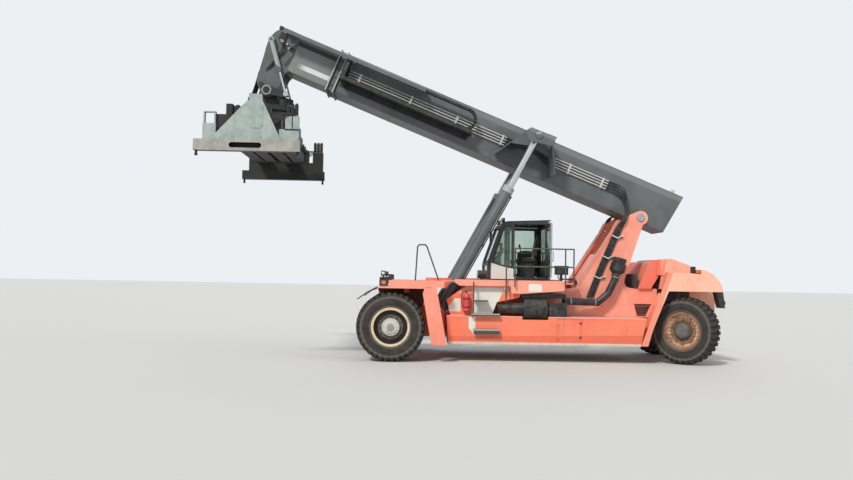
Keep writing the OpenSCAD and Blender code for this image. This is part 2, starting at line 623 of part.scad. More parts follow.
// Side window ahead of the door, its lower edge curved down to the door
side_window = [[cab_x + 130, cab_z + 440], [cab_x + 400, cab_top_z - 190], [door_x0 - 60, cab_top_z - 180],
               [door_x0 - 60, cab_z + 330], [door_x0 - 130, cab_z + 290], [cab_x + 200, cab_z + 380]];
windscreen = [[cab_x - 60, cab_z + 450], [cab_x + 120, cab_z + 450], [cab_x + 380, cab_top_z - 190],
              [cab_x + 100, cab_top_z - 190]];
module cab_shell() color(grey) place() {
    difference() {
        plate(cab_out, 0, 2 * cab_y);
        plate(cab_in, 0, 2 * (cab_y - cab_wall));
        plate(side_window, 0, 3 * cab_y);
        plate(windscreen, 0, 2 * (cab_y - 90));
        // Lower front window
        span([cab_x - over, -cab_y + 200, cab_z + 120], [cab_x + 100, cab_y - 200, cab_z + 340]);
        // Door openings
        pair() span([door_x0, cab_y - 100, door_z0], [door_x1, cab_y + over, door_z1]);
        // Rear and roof windows
        span([cab_x1 - 100, -cab_y + 130, cab_z + 480], [cab_x1 + over, cab_y - 130, cab_top_z - 180]);
        span([cab_x + 600, -cab_y + 220, cab_top_z - 200], [cab_x + 1180, cab_y - 220, cab_top_z + over]);
    }
    // Hinge pins beside the door openings
    pair() for (z = [door_z0 + 140, door_z1 - 260]) {
        translate([hinge_x, hinge_y, z]) cylinder(r = 9, h = 120, $fn = 32);
        span([hinge_x - 12, cab_y, z - 20], [hinge_x + 12, hinge_y + 12, z]);
    }
    // Shoes on the cab rails
    pair() for (x = [cab_x + 120, cab_x1 - 320])
        span([x, 640.3, cab_z - 60], [x + 200, 700, cab_z]);
}
glass_t = 8;
module cab_glass() color([0.5, 0.65, 0.6, 0.5]) place() {
    mid = cab_wall / 2;
    pair() plate(side_window, cab_y - mid, glass_t);
    intersection() {
        plate(windscreen, 0, 2 * (cab_y - 90));
        plate([[cab_x + mid, cab_z + 385], [cab_x + mid + glass_t, cab_z + 385],
               [cab_x + 345 + mid + glass_t, cab_top_z - 90], [cab_x + 345 + mid, cab_top_z - 90]], 0, 2 * cab_y);
    }
    span([cab_x + mid, -cab_y + 200, cab_z + 120], [cab_x + mid + glass_t, cab_y - 200, cab_z + 340]);
    span([cab_x1 - mid, -cab_y + 130, cab_z + 480], [cab_x1 - mid + glass_t, cab_y - 130, cab_top_z - 180]);
    intersection() {
        span([cab_x + 600, -cab_y + 220, cab_top_z - 200], [cab_x + 1180, cab_y - 220, cab_top_z]);
        plate([[cab_x + 470, cab_top_z - 90], [cab_x1, cab_top_z - 30], [cab_x1, cab_top_z - 22],
               [cab_x + 470, cab_top_z - 82]], 0, 2 * cab_y);
    }
}
seat_x = cab_x + 820;
seat_z = cab_z + cab_wall;
module seat() color(dark) place() {
    plate([[seat_x, seat_z + 380], [seat_x - 20, seat_z + 500], [seat_x + 360, seat_z + 500],
           [seat_x + 470, seat_z + 1080], [seat_x + 580, seat_z + 1060], [seat_x + 490, seat_z + 380]], 0, 500);
}
module cab_console() color(dark) place() {
    // Seat base
    span([seat_x + 80, -180, seat_z], [seat_x + 440, 180, seat_z + 379.8]);
    // Steering column, wheel hub and dash
    plate([[cab_x + 260, seat_z], [cab_x + 200, seat_z + 420], [cab_x + 420, seat_z + 700],
           [cab_x + 460, seat_z + 660], [cab_x + 360, seat_z + 400], [cab_x + 420, seat_z]], 0, 240);
    translate([cab_x + 440, 0, seat_z + 680]) rotate([0, -35, 0])
        difference() {
            cylinder(r = 200, h = 28);
            translate([0, 0, -over]) cylinder(r = 172, h = 40);
        }
    translate([cab_x + 440, 0, seat_z + 680]) rotate([0, -35, 0]) translate([-180, -14, 0]) cube([360, 28, 24]);
    // Arm console on the right of the seat and monitor
    span([seat_x + 60, 260, seat_z], [seat_x + 420, 400, seat_z + 620]);
    span([cab_x + 350, -420, seat_z + 620], [cab_x + 400, -180, seat_z + 860]);
    span([cab_x + 365, -310, seat_z], [cab_x + 385, -290, seat_z + 620]);
}
// Door drawn closed on the +Y side, then turned about its hinge
module door_frame() {
    x0 = door_x0 + door_gap;
    x1 = door_x1 - door_gap;
    z0 = door_z0 + door_gap;
    z1 = door_z1 - door_gap;
    difference() {
        span([x0, cab_y - door_t, z0], [x1, cab_y, z1]);
        span([x0 + 60, cab_y - 100, z0 + 420], [x1 - 60, cab_y + over, z1 - 60]);
        span([x0 + 60, cab_y - 100, z0 + 70], [x1 - 60, cab_y + over, z0 + 360]);
    }
    for (z = [door_z0 + 141, door_z1 - 259]) {
        difference() {
            union() {
                translate([hinge_x, hinge_y, z]) cylinder(r = 17, h = 100, $fn = 32);
                translate([x1 - 30, cab_y - over, z]) cube([32, 15, 100]);
                translate([x1 - 30, cab_y + pad_gap, z]) cube([hinge_x - x1 + 30, 16, 100]);
            }
            translate([hinge_x, hinge_y, z - over]) cylinder(r = 9 + fit, h = 110, $fn = 32);
        }
    }
    // Handle
    span([x0 + 30, cab_y, z0 + 380], [x0 + 60, cab_y + 40, z0 + 400]);
    span([x0 + 30, cab_y + 30, z0 + 380], [x0 + 60, cab_y + 40, z0 + 620]);
}
module door_pane() {
    x0 = door_x0 + door_gap;
    x1 = door_x1 - door_gap;
    z0 = door_z0 + door_gap;
    z1 = door_z1 - door_gap;
    span([x0 + 60, cab_y - 26, z0 + 420], [x1 - 60, cab_y - 18, z1 - 60]);
    span([x0 + 60, cab_y - 26, z0 + 70], [x1 - 60, cab_y - 18, z0 + 360]);
}
module swung(side, a) place() mirror([0, side < 0 ? 1 : 0, 0])
    translate([hinge_x, hinge_y, 0]) rotate([0, 0, -a]) translate([-hinge_x, -hinge_y, 0]) children();
module left_door() color(grey) swung(-1, door_angle) door_frame();
module left_door_glass() color([0.5, 0.65, 0.6, 0.5]) swung(-1, door_angle) door_pane();
module right_door() color(grey) swung(1, 0) door_frame();
module right_door_glass() color([0.5, 0.65, 0.6, 0.5]) swung(1, 0) door_pane();

/* Boom */
boom_low = -50;
boom_top = boom_low + boom_h;
half_w = boom_w / 2;
lift_ear_t = 50;
lift_slot = 300;
lift_ear_ys = [lift_y - (lift_slot + lift_ear_t) / 2, lift_y + (lift_slot + lift_ear_t) / 2];
// Ears that hold the upper end of one lifting cylinder, between a front and a rear flange
ear_flange_t = 25;
module lift_bracket() {
    boom_plate([[2700, 470], [2740, 935], [3420, 935], [3530, 760], [3700, 440], [3200, 560]], lift_ear_ys[0], lift_ear_t);
    boom_plate([[2730, 700], [2770, 935], [3420, 915], [3530, 760], [3330, 590], [3060, 640]], lift_ear_ys[1], lift_ear_t);
    for (side = [0, 1])
        rod_y(-lift_pin_s, lift_pin_t, lift_pin_r + 30, lift_ear_ys[side] + (side * 2 - 1) * 10, lift_ear_t + 20);
    // Flanges: [foot, head] along the boom and above its line, and their outer edge; the
    // front one ends beside the lowered cylinder
    flange_w = lift_ear_ys[1] + lift_ear_t / 2 - half_w;
    inner_w = lift_ear_ys[0] + lift_ear_t / 2 - 10 - half_w;
    for (f = [[[3930, 80], [3505, 780], inner_w], [[2440, 80], [2750, 720], flange_w]])
        boom_plate([f[0], f[1], f[1] + [ear_flange_t, 0], f[0] + [ear_flange_t, 0]], half_w + f[2] / 2, f[2]);
    // Top plate behind the pin
    boom_plate([[2745, 911], [2745, 935], [2960, 935], [2960, 911]], half_w + flange_w / 2, flange_w);
}
module outer_boom() color(grey) boom_place() {
    // Box of four plates, open at the front
    difference() {
        boom_plate([[-740, boom_low], [-880, boom_top], [collar_s, boom_top], [collar_s, boom_low]], 0, boom_w);
        boom_plate([[-700, boom_low + boom_wall], [-830, boom_top - boom_wall], [collar_s + over, boom_top - boom_wall],
                    [collar_s + over, boom_low + boom_wall]], 0, boom_w - 2 * boom_wall);
    }
    // Collar ribs at the front
    for (s = [collar_s - 220, collar_s - 35]) difference() {
        boom_plate([[s, boom_low - 35], [s, boom_top + 35], [s + 35, boom_top + 35], [s + 35, boom_low - 35]],
                   0, boom_w + 90);
        boom_plate([[s - over, boom_low + 5], [s - over, boom_top - 5], [s + 40, boom_top - 5], [s + 40, boom_low + 5]],
                   0, boom_w - 10);
    }
    pair() {
        // Foot lugs round the pin
        boom_plate([[-260, boom_low + 10], [-160, -130], [-60, -178], [60, -178], [160, -130], [420, boom_low + 10]],
                   half_w - 30, 60);
        rod_y(0, 0, 178, half_w - 15, 90);
        lift_bracket();
    }
    // Foot pin
    rod_y(0, 0, pivot_pin_r, 0, 2 * tower_y + 20);
}

/* Pipes, chain and covers on the boom */
pipe_y = half_w + 45;
pipe_t = 385;
pipe_pitch = 70;
pipe_runs = [[1000, 2550], [3800, 8150]];
module boom_pipes() color(pale) boom_place() {
    pair() {
        // Two runs of four, parted by the lifting ears
        for (run = pipe_runs, i = [0 : 3])
            translate([-run[1], pipe_y, pipe_t + i * pipe_pitch]) rotate([0, 90, 0])
                cylinder(r = 15, h = run[1] - run[0], $fn = 16);
        for (s = [1150, 2050, 3900, 5150, 6400, 7800])
            boom_plate([[s, pipe_t - 30], [s, pipe_t + 240], [s + 50, pipe_t + 240], [s + 50, pipe_t - 30]],
                       half_w + 35, 70);
    }
    // Beacon bracket at the rear of the top
    span([560, -420, boom_top], [640, -300, boom_top + 20]);
    translate([600, -360, boom_top + 19]) cylinder(r = 45, h = 75);
}

// Hose chain: upper run on the moving carrier's line, a half turn and a lower run in its tray
chain_y = 760;
chain_w = 150;
// Top of the chain's tray, height above the boom's line
tray_t = 300;
link_h = 70;
turn_s = 4970;
turn_r = 280;
link_pitch = 100;
chain_s1 = 8170;
chain_top = tray_t + 2 * turn_r;
run_links = (chain_s1 - turn_s) / link_pitch;
turn_links = 8;
// One link about its middle, long in X; every second one is the inner kind without studs
module link(outer) {
    w = outer ? chain_w : chain_w - 24;
    h = outer ? link_h : link_h - 10;
    translate([-link_pitch / 2, -w / 2, -h / 2]) cube([link_pitch, w, h]);
    if (outer) rod_y(0, 0, 20, 0, chain_w + 12);
}
module energy_chain() color(dark) boom_place() {
    // Lower run, upper run and the half turn between them
    for (i = [0 : run_links - 1], t = [tray_t + link_h / 2, chain_top - link_h / 2])
        translate([-turn_s - (i + 0.5) * link_pitch, -chain_y, t]) link(i % 2 == 0);
    difference() {
        rod_y(-turn_s, tray_t + turn_r, turn_r - 4, -chain_y, chain_w - 24);
        rod_y(-turn_s, tray_t + turn_r, turn_r - link_h + 4, -chain_y, chain_w);
        boom_plate([[turn_s, 200], [turn_s, 900], [turn_s + 400, 900], [turn_s + 400, 200]], -chain_y, 300);
    }
    for (i = [0 : turn_links - 1]) translate([-turn_s, -chain_y, tray_t + turn_r])
        rotate([0, (i + 0.5) * 180 / turn_links, 0]) translate([0, 0, turn_r - link_h / 2])
            union() {
                translate([-38, -chain_w / 2, -link_h / 2]) cube([76, chain_w, link_h - 2]);
                rod_y(0, 0, 20, 0, chain_w + 12);
            }
    // End block of the upper run on the boom's side
    boom_plate([[chain_s1, tray_t], [chain_s1, chain_top], [chain_s1 + 90, chain_top], [chain_s1 + 90, tray_t]],
               -(half_w + chain_y + chain_w / 2) / 2, chain_y + chain_w / 2 - half_w);
    // Tray of the lower run
    tray_end = chain_s1 + 100;
    boom_plate([[turn_s - 290, tray_t - 30], [turn_s - 290, tray_t], [tray_end, tray_t], [tray_end, tray_t - 30]],
               -half_w - 200, 400);
    boom_plate([[turn_s - 290, tray_t - 30], [turn_s - 290, tray_t + 50], [tray_end, tray_t + 50], [tray_end, tray_t - 30]],
               -half_w - 394, 12);
}

inner_y = half_w - boom_wall - slide_gap;
inner_low = boom_low + boom_wall + slide_gap;
inner_top = boom_top - boom_wall - slide_gap;
inner_s0 = 450;
inner_s1 = 9600;
module inner_boom() color(grey) boom_place() {
    difference() {
        boom_plate([[inner_s0, inner_low], [inner_s0, inner_top], [inner_s1, inner_top], [inner_s1, inner_low]],
                   0, 2 * inner_y);
        boom_plate([[inner_s0 - over, inner_low + inner_wall], [inner_s0 - over, inner_top - inner_wall],
                    [inner_s1 + over, inner_top - inner_wall], [inner_s1 + over, inner_low + inner_wall]],
                   0, 2 * (inner_y - inner_wall));
    }
    // Slide pads that seat in the outer boom
    for (z = [inner_low - slide_gap + 0.3, inner_top])
        pair() span([-inner_s0 - 400, 200, z], [-inner_s0, inner_y - 40, z + slide_gap - 0.3]);
}

head_plate = 45;
head_s = inner_s1 + 1;
damper_s = 10258;
damper_t = 536;
damper_y = 565;
// Hose carrier: from and to along the boom, underside, outer edge
carrier_s0 = 6150;
carrier_s1 = 9980;
carrier_t = 778;
carrier_y = 900;
module boom_head() color(grey) boom_place() {
    difference() {
        union() {
            pair() {
                // Side plates of the head
                boom_plate([[9200, inner_low + 30], [9200, inner_top - inner_wall], [head_s, inner_top - inner_wall],
                            [head_s, inner_top], [10000, inner_top + 20], [10130, 900], [10240, 800], [10350, 600],
                            [10330, 300], [10255, -100], [10225, -540], [10050, -740], [9970, -815],
                            [tilt_s, tilt_t - 160], [9780, -815], [9690, -740], [9640, -640], [9630, -100],
                            [head_s, inner_low - 40], [head_s, inner_low + 30]],
                           inner_y - inner_wall - head_plate / 2, head_plate);
                rod_y(-tilt_s, tilt_t, 150, inner_y - 35, 100);
                // Damper ear
                rod_y(-damper_s, damper_t, 90, inner_y + 5, 60);
            }
            // Nose cross plates
            boom_plate([[10330, 300], [10350, 600], [10240, 800], [10130, 900], [10000, inner_top + 20],
                        [9990, inner_top - 10], [10110, 870], [10210, 780], [10310, 590], [10290, 300]],
                       0, 2 * inner_y - 60);
            boom_plate([[head_s, -60], [head_s + 40, -60], [head_s + 40, inner_low + 200], [head_s, inner_low + 200]],
                       0, 2 * inner_y - 60);
            // Shafts that carry the dampers
            rod_y(-damper_s, damper_t, 40, 0, 2 * (damper_y + 60));
            // Folded carrier that leads the hoses back over the chain
            boom_plate([[carrier_s0, carrier_t], [carrier_s0, carrier_t + 100], [carrier_s1, carrier_t + 100],
                        [carrier_s1, carrier_t]], -carrier_y + 5, 10);
            boom_plate([[carrier_s0, carrier_t + 88], [carrier_s0, carrier_t + 100], [carrier_s1, carrier_t + 100],
                        [carrier_s1, carrier_t + 88]], -(560 + carrier_y) / 2, carrier_y - 560);
            boom_plate([[head_s + 40, carrier_t + 60], [head_s + 40, carrier_t + 100], [carrier_s1, carrier_t + 100],
                        [carrier_s1, carrier_t + 60]], -(inner_y - 40 + carrier_y - 5) / 2, carrier_y - 5 - inner_y + 40);
            // Hose bracket over the nose
            for (y = [-180, 180]) boom_plate([[10120, 880], [10100, 985], [10180, 1005], [10300, 880], [10330, 640],
                                              [10200, 800]], y, 20);
            rod_y(-10200, 950, 16, 0, 380);
        }
        rod_y(-tilt_s, tilt_t, tilt_pin_r + fit, 0, 3000);
    }
}

/* Lifting cylinders */
lift_rest_x = boom_x(lift_pin_s, lift_pin_t) - lift_x;
lift_rest_z = boom_z(lift_pin_s, lift_pin_t) - lift_z;
lift_len = norm([lift_rest_x, lift_rest_z]);
lift_tilt = atan2(lift_rest_x, lift_rest_z);
module lift_place() place() pair() translate([lift_x, lift_y, lift_z]) rotate([0, lift_tilt, 0]) children();
lift_rod_len = lift_barrel_len + 30;
module lift_barrels() color(grey) lift_place() difference() {
    union() {
        cylinder(r = lift_barrel_r, h = lift_barrel_len - 140);
        translate([0, 0, lift_barrel_len - 140]) cylinder(r = lift_barrel_r + 12, h = 140);
        rod_y(0, 0, 115, 0, 170);
        translate([0, 0, 40]) cylinder(r = lift_barrel_r - 20, h = 60);
        // Feed pipe along the barrel
        translate([lift_barrel_r + 22, 0, 300]) cylinder(r = 15, h = lift_barrel_len - 500, $fn = 16);
        for (z = [400, 1900, lift_barrel_len - 230])
            translate([lift_barrel_r - 20, -25, z]) cube([60, 50, 60]);
    }
    translate([0, 0, 220]) cylinder(r = lift_rod_r + fit, h = lift_barrel_len);
    translate([0, 0, 220]) cylinder(r = lift_barrel_r - 18, h = lift_barrel_len - 380);
    // The trunnion ends flat against the ears
    for (y = [85, -285]) translate([-200, y, -200]) cube([400, 200, 400]);
}
module lift_rods() color(steel) lift_place() {
    translate([0, 0, lift_len - lift_rod_len]) cylinder(r = lift_rod_r, h = lift_rod_len - 60);
    // Eye with its pin
    rod_y(0, lift_len, 125, 0, lift_slot - 30);
    rod_y(0, lift_len, lift_pin_r, 0, lift_slot - 0.6);
}

/* Dampers between the head and the yoke */
// Plane of the yoke's levers, and the way from a damper to its lever
lever_y = 502;
lever_reach = damper_y - lever_y - 20.3;
eye_dx = 490;
eye_dz = -110;
damper_top_x = boom_x(damper_s, damper_t);
damper_top_z = boom_z(damper_s, damper_t);
damper_vx = tilt_x + eye_dx - damper_top_x;
damper_vz = tilt_z + eye_dz - damper_top_z;
damper_len = norm([damper_vx, damper_vz]);
damper_lean = atan2(damper_vx, -damper_vz);
// Local Z runs down the damper
module damper_place() place() pair() translate([damper_top_x, damper_y, damper_top_z])
    rotate([0, 180 - damper_lean, 0]) children();
module damper_barrels() color(grey) damper_place() difference() {
    union() {
        rod_y(0, 0, 75, 0, 70);
        translate([0, 0, 40]) cylinder(r = 60, h = 810);
    }
    rod_y(0, 0, 40 + fit, 0, 100);
    translate([0, 0, 120]) cylinder(r = 28 + fit, h = 800);
}
module damper_rods() color(steel) damper_place() {
    translate([0, 0, 440]) cylinder(r = 28, h = damper_len - 440 - 30);
    rod_y(0, damper_len, 60, 0, 60);
    // Pin that reaches the yoke's lever
    rod_y(0, damper_len, 30, (45 - lever_reach) / 2, 45 + lever_reach);
}

/* Yoke, slewing ring and spreader */
ring_r = 640;
// Drop from the tilt pin to the slewing ring's lower half
ring_drop = 690;
ring_z = tilt_z - ring_drop;
module yoke() color(grey) spread_place() {
    difference() {
        union() {
            // Cheeks that hang from the tilt pin between the head's plates
            pair() plate([[-200, tilt_z + 60], [-80, tilt_z + 190], [80, tilt_z + 190], [200, tilt_z + 60],
                          [330, ring_z + 300], [-330, ring_z + 300]], 240, 70);
            // Pin with the lever for the damper on each side
            rod_y(0, tilt_z, tilt_pin_r, 0, 2 * lever_y + 60);
            pair() plate([[-120, tilt_z + 90], [120, tilt_z + 90], [eye_dx + 60, tilt_z + eye_dz + 60],
                          [eye_dx + 60, tilt_z + eye_dz - 60], [eye_dx - 60, tilt_z + eye_dz - 70],
                          [100, tilt_z - 120], [-120, tilt_z - 90]], lever_y, 40);
            // Slewing ring housing with four motors
            translate([0, 0, ring_z + 180]) cylinder(r = ring_r + 60, h = 120);
            translate([0, 0, ring_z + 60]) cylinder(r = ring_r - 40, h = 130);
            for (a = [45 : 90 : 315]) rotate([0, 0, a]) translate([560, 0, ring_z + 299]) cylinder(r = 85, h = 170);
        }
    }
}

// The main beams are four tubes side by side, two for each end's telescopic beams
tube_w = 300;
tube_half = 2050;
tube_wall = 16;
tube_gap = 10;
left_tubes = [-200, 560];
right_tubes = [-560, 200];
frame_x = 715;
main_beam_top = main_beam_z + main_beam_h;
slew_w = 40;
// Turntable on a carriage that grips the main beams
module slew_frame() color(grey) spread_place() {
    translate([0, 0, ring_z - 120]) cylinder(r = ring_r, h = 179.7);
    span([-frame_x - slew_w, -620, main_beam_top + 30], [frame_x + slew_w, 620, ring_z - 119]);
    for (x = [-frame_x - slew_w / 2, frame_x + slew_w / 2])
        span([x - slew_w / 2 + (x > 0 ? pad_gap : 0), -620, main_beam_z + 60],
             [x + slew_w / 2 - (x > 0 ? 0 : pad_gap), 620, main_beam_top + 31]);
    // Slide pads on the beams
    for (x = [-560, 560], y = [-560, 460]) span([x - 120, y, main_beam_top + pad_gap], [x + 120, y + 100, main_beam_top + 31]);
}

// Boxes on the main beams: x from, x to, y from, y to, height
top_boxes = [[-690, -540, -1960, -1560, 420], [-500, -180, -1980, -1600, 300], [60, 330, -1960, -1620, 380],
             [400, 690, -1960, -1700, 240], [350, 640, 1560, 2000, 220], [-640, -200, 1600, 1980, 340]];
module spreader_frame() color(pale) spread_place() {
    difference() {
        union() {
            for (x = concat(left_tubes, right_tubes))
                span([x - tube_w / 2, -tube_half, main_beam_z], [x + tube_w / 2, tube_half, main_beam_top]);
            // Webs that tie the four tubes together
            for (y = [-1900, -620, 560, 1840]) span([-frame_x, y, main_beam_z], [frame_x, y + 60, main_beam_top]);
            // Collars round the ends of the tubes
            for (y = [-tube_half, tube_half - 50])
                span([-frame_x - 15, y, main_beam_z - 20], [frame_x + 15, y + 50, main_beam_top + 20]);
            // Valve blocks, hose drum stand and tank on top, outside the carriage's travel
            for (b = top_boxes)
                span([b[0], b[2], main_beam_top - over], [b[1], b[3], main_beam_top + b[4]]);
            for (x = [-420, -260]) rod_y(x, main_beam_top + 330, 70, -1800, 300);
            for (x = [430, 560]) rod_y(x, main_beam_top + 250, 55, 1790, 340);
        }
        for (x = concat(left_tubes, right_tubes))
            span([x - tube_w / 2 + tube_wall, -tube_half - over, main_beam_z + tube_wall],
                 [x + tube_w / 2 - tube_wall, tube_half + over, main_beam_top - tube_wall]);
    }
}

end_reach = lock_y / 2;
end_in = tube_wall + tube_gap;
end_wall = 16;
// Slot in the end beam's outer wall: middles of its round ends, and its half height
slot_xs = [-330, 270];
slot_r = 60;
// End of the spreader, drawn towards +Y, on the tubes at xs
module end_beam(xs) {
    // Telescopic beams with slide pads at their inner ends
    for (x = xs) {
        difference() {
            span([x - tube_w / 2 + end_in, -tube_half + 60, main_beam_z + end_in],
                 [x + tube_w / 2 - end_in, end_reach - 60, main_beam_top - end_in]);
            span([x - tube_w / 2 + end_in + 14, -tube_half + 50, main_beam_z + end_in + 14],
                 [x + tube_w / 2 - end_in - 14, end_reach - 100, main_beam_top - end_in - 14]);
        }
        for (z = [main_beam_z + tube_wall + pad_gap, main_beam_top - end_in - 1])
            span([x - 80, -tube_half + 60, z], [x + 80, -tube_half + 260, z + tube_gap + 1 - pad_gap]);
    }
    // End beam box with a long slot in its outer wall
    end_top = end_beam_z + end_beam_h;
    half_len = end_beam_len / 2;
    difference() {
        span([-half_len, end_reach - 110, end_beam_z], [half_len, end_reach + 110, end_top]);
        span([-half_len + end_wall, end_reach - 110 + end_wall, end_beam_z + end_wall],
             [half_len - end_wall, end_reach + 110 - end_wall, end_top - end_wall]);
        for (x = slot_xs) rod_y(x, end_beam_z + end_beam_h / 2, slot_r, end_reach + 100, 60);
        span([slot_xs[0], end_reach + 70, end_beam_z + end_beam_h / 2 - slot_r],
             [slot_xs[1], end_reach + 130, end_beam_z + end_beam_h / 2 + slot_r]);
    }
    // End plate, a trapezoid with a narrow neck and a raised panel, and the box behind it
    plate([[-780, end_top], [-775, end_top + 45], [-15, 5840], [30, 5850], [40, 6000], [320, 6000], [330, 5850],
           [390, 5740], [745, end_top + 30], [760, end_top]], end_reach + 80, 30);
    plate([[30, 5290], [30, 5745], [345, 5745], [345, 5290], [300, 5235], [75, 5235]], end_reach + 101, 14);
    // Housing of the corner's swing mechanism: base, two uprights and a top plate
    span([-990, end_reach - 100, end_top - over], [-700, end_reach + 60, 5330]);
    for (x = [-980, -740]) span([x, end_reach - 80, 5329], [x + 30, end_reach + 40, 5580]);
    span([-980, end_reach - 80, 5579], [-710, end_reach + 40, 5600]);
    // Valve block on its stand with three upright accumulators
    span([710, end_reach - 105, end_top - over], [1140, end_reach + 60, 5220]);
    span([840, end_reach - 100, 5219], [1140, end_reach + 50, 5520]);
    for (x = [900, 990, 1080]) translate([x, end_reach - 25, 5519]) cylinder(r = 42, h = 270);
    plate([[-740, end_beam_z + end_beam_h], [-740, main_beam_top], [740, main_beam_top],
           [740, end_beam_z + end_beam_h]], end_reach - 60, 60);
    // Twistlocks
    for (x = [-lock_x / 2, lock_x / 2]) translate([x, end_reach, 0]) {
        translate([0, 0, end_beam_z - 70]) cylinder(r = 28, h = 80);
        translate([-26, -50, end_beam_z - 110]) cube([52, 100, 42]);
    }
}
module right_end_beam() color(pale) spread_place() end_beam(right_tubes);
module left_end_beam() color(pale) spread_place() mirror([0, 1, 0]) end_beam(left_tubes);

chassis_frame();
front_fenders();
axles();
side_boxes();
tower();
counterweight();
engine_hood();
engine_block();
deck_rails();
air_intake();
work_lamps();
tower_hoses();
side_hatch();
front_left_rims();
front_left_tyres();
front_right_rims();
front_right_tyres();
left_knuckle();
rear_left_rim();
rear_left_tyre();
right_knuckle();
rear_right_rim();
rear_right_tyre();
cab_shell();
cab_glass();
seat();
cab_console();
left_door();
left_door_glass();
right_door();
right_door_glass();
outer_boom();
boom_pipes();
energy_chain();
inner_boom();
boom_head();
lift_barrels();
lift_rods();
damper_barrels();
damper_rods();
yoke();
slew_frame();
spreader_frame();
left_end_beam();
right_end_beam();
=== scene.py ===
from math import cos, exp, pi, radians, sin

import bmesh
import bpy
from mathutils import Matrix, Vector


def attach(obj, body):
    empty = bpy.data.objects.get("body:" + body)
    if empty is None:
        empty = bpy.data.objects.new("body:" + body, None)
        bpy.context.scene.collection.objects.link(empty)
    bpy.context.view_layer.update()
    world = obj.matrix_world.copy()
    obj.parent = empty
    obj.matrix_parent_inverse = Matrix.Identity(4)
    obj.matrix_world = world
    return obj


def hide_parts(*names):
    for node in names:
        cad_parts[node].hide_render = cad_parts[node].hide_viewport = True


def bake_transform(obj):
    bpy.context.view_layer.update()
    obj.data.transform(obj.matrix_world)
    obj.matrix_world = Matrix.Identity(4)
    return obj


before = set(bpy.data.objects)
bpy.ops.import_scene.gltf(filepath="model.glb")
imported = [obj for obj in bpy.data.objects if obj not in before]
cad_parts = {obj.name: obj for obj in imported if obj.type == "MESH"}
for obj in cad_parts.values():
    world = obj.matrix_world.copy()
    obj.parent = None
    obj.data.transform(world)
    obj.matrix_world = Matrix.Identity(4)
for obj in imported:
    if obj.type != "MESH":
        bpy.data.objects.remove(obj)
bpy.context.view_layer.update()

# ---------------------------------------------------------------- viewpoint and ground
# The machine stands on plain pale concrete under an open, softly lit sky. It is seen square
# on from its left side, from the height of the wheel arches, with the camera leaning a little.
FRONT_AXLE_TO_ORIGIN = 1.83004
CAMERA_PLACE, GROUND_HALF = (-1.510, -22.35, 2.02), 150


def at(x, y, z):
    """A point of the machine, x metres behind the front axle."""
    return Vector((x - FRONT_AXLE_TO_ORIGIN, y, z))


def link(name, data):
    """Puts an object with the given data into the scene."""
    item = bpy.data.objects.new(name, data)
    bpy.context.scene.collection.objects.link(item)
    return item


yaw, pitch, roll = radians(1.36), radians(2.35), radians(1.05)
ahead = Vector((sin(yaw) * cos(pitch), cos(yaw) * cos(pitch), sin(pitch)))
across = Vector((cos(yaw), -sin(yaw), 0))
upright = across.cross(ahead)
right = across * cos(roll) + upright * sin(roll)
top = upright * cos(roll) - across * sin(roll)
camera_data = bpy.data.cameras.new("camera")
camera_data.lens, camera_data.sensor_width, camera_data.clip_end = 36.76, 36, 400
camera = link("camera", camera_data)
turn = Matrix((right, top, -ahead)).transposed().to_4x4()
camera.matrix_world = Matrix.Translation(CAMERA_PLACE) @ turn
bpy.context.scene.camera = camera
bpy.context.scene.view_settings.view_transform = "Standard"


def srgb(red, green, blue):
    """A colour given in screen values from 0 to 255."""
    return tuple(c / 12.92 if c <= 0.04045 else ((c + 0.055) / 1.055) ** 2.4
                 for c in (v / 255 for v in (red, green, blue))) + (1,)


class Field:
    """A value in a node tree. As a mask, a * b is both, a | b is either and ~a is the rest."""

    def __init__(self, socket):
        self.socket, self.tree = socket, socket.id_data

    def beside(self, kind, output=0, **values):
        """An output of a new node in the same tree."""
        return Field(put(self.tree, kind, **values).outputs[output])

    def __add__(self, other):
        return calc("ADD", self, other)

    def __sub__(self, other):
        return calc("SUBTRACT", self, other)

    def __mul__(self, other):
        return calc("MULTIPLY", self, other)

    def __or__(self, other):
        return calc("MAXIMUM", self, other)

    def __invert__(self):
        return calc("SUBTRACT", 1.0, self)

    def __abs__(self):
        return calc("ABSOLUTE", self)


def feed(socket, value):
    """Links an output to an input, or sets a plain value on it."""
    value = value.socket if isinstance(value, Field) else value
    if isinstance(value, bpy.types.NodeSocket):
        socket.id_data.links.new(value, socket)
    else:
        socket.default_value = value


def put(tree, kind, **values):
    """Adds a node; its settings go by their names, its inputs by name or by i and a number."""
    node = tree.nodes.new(kind)
    for key, value in values.items():
        if hasattr(node, key):
            setattr(node, key, value)
        else:
            feed(node.inputs[int(key[1:]) if key[1:].isdigit() else key.replace("_", " ")], value)
    return node


def calc(operation, *values):
    """A maths node on values of which at least one is a field."""
    first = next(value for value in values if isinstance(value, Field))
    return first.beside("ShaderNodeMath", operation=operation,
                        **{f"i{n}": value for n, value in enumerate(values)})


def step(value, low, high):
    """0 below low and 1 above high."""
    return value.beside("ShaderNodeMapRange", interpolation_type="SMOOTHSTEP",
                        Value=value, i1=low, i2=high)


def lay(colour, amount, paint):
    """Lays a paint over a colour, by an amount from 0 to 1."""
    return amount.beside("ShaderNodeMix", 2, data_type="RGBA", i0=amount, i6=colour, i7=paint)


def clouds(where, scale, detail=5.0, rough=0.6, stretch=None):
    """Soft noise from 0 to 1, stretched along the axes if asked."""
    if stretch:
        where = where.beside("ShaderNodeMapping", Vector=where, Scale=stretch)
    return where.beside("ShaderNodeTexNoise", Vector=where, Scale=scale, Detail=detail,
                        Roughness=rough)


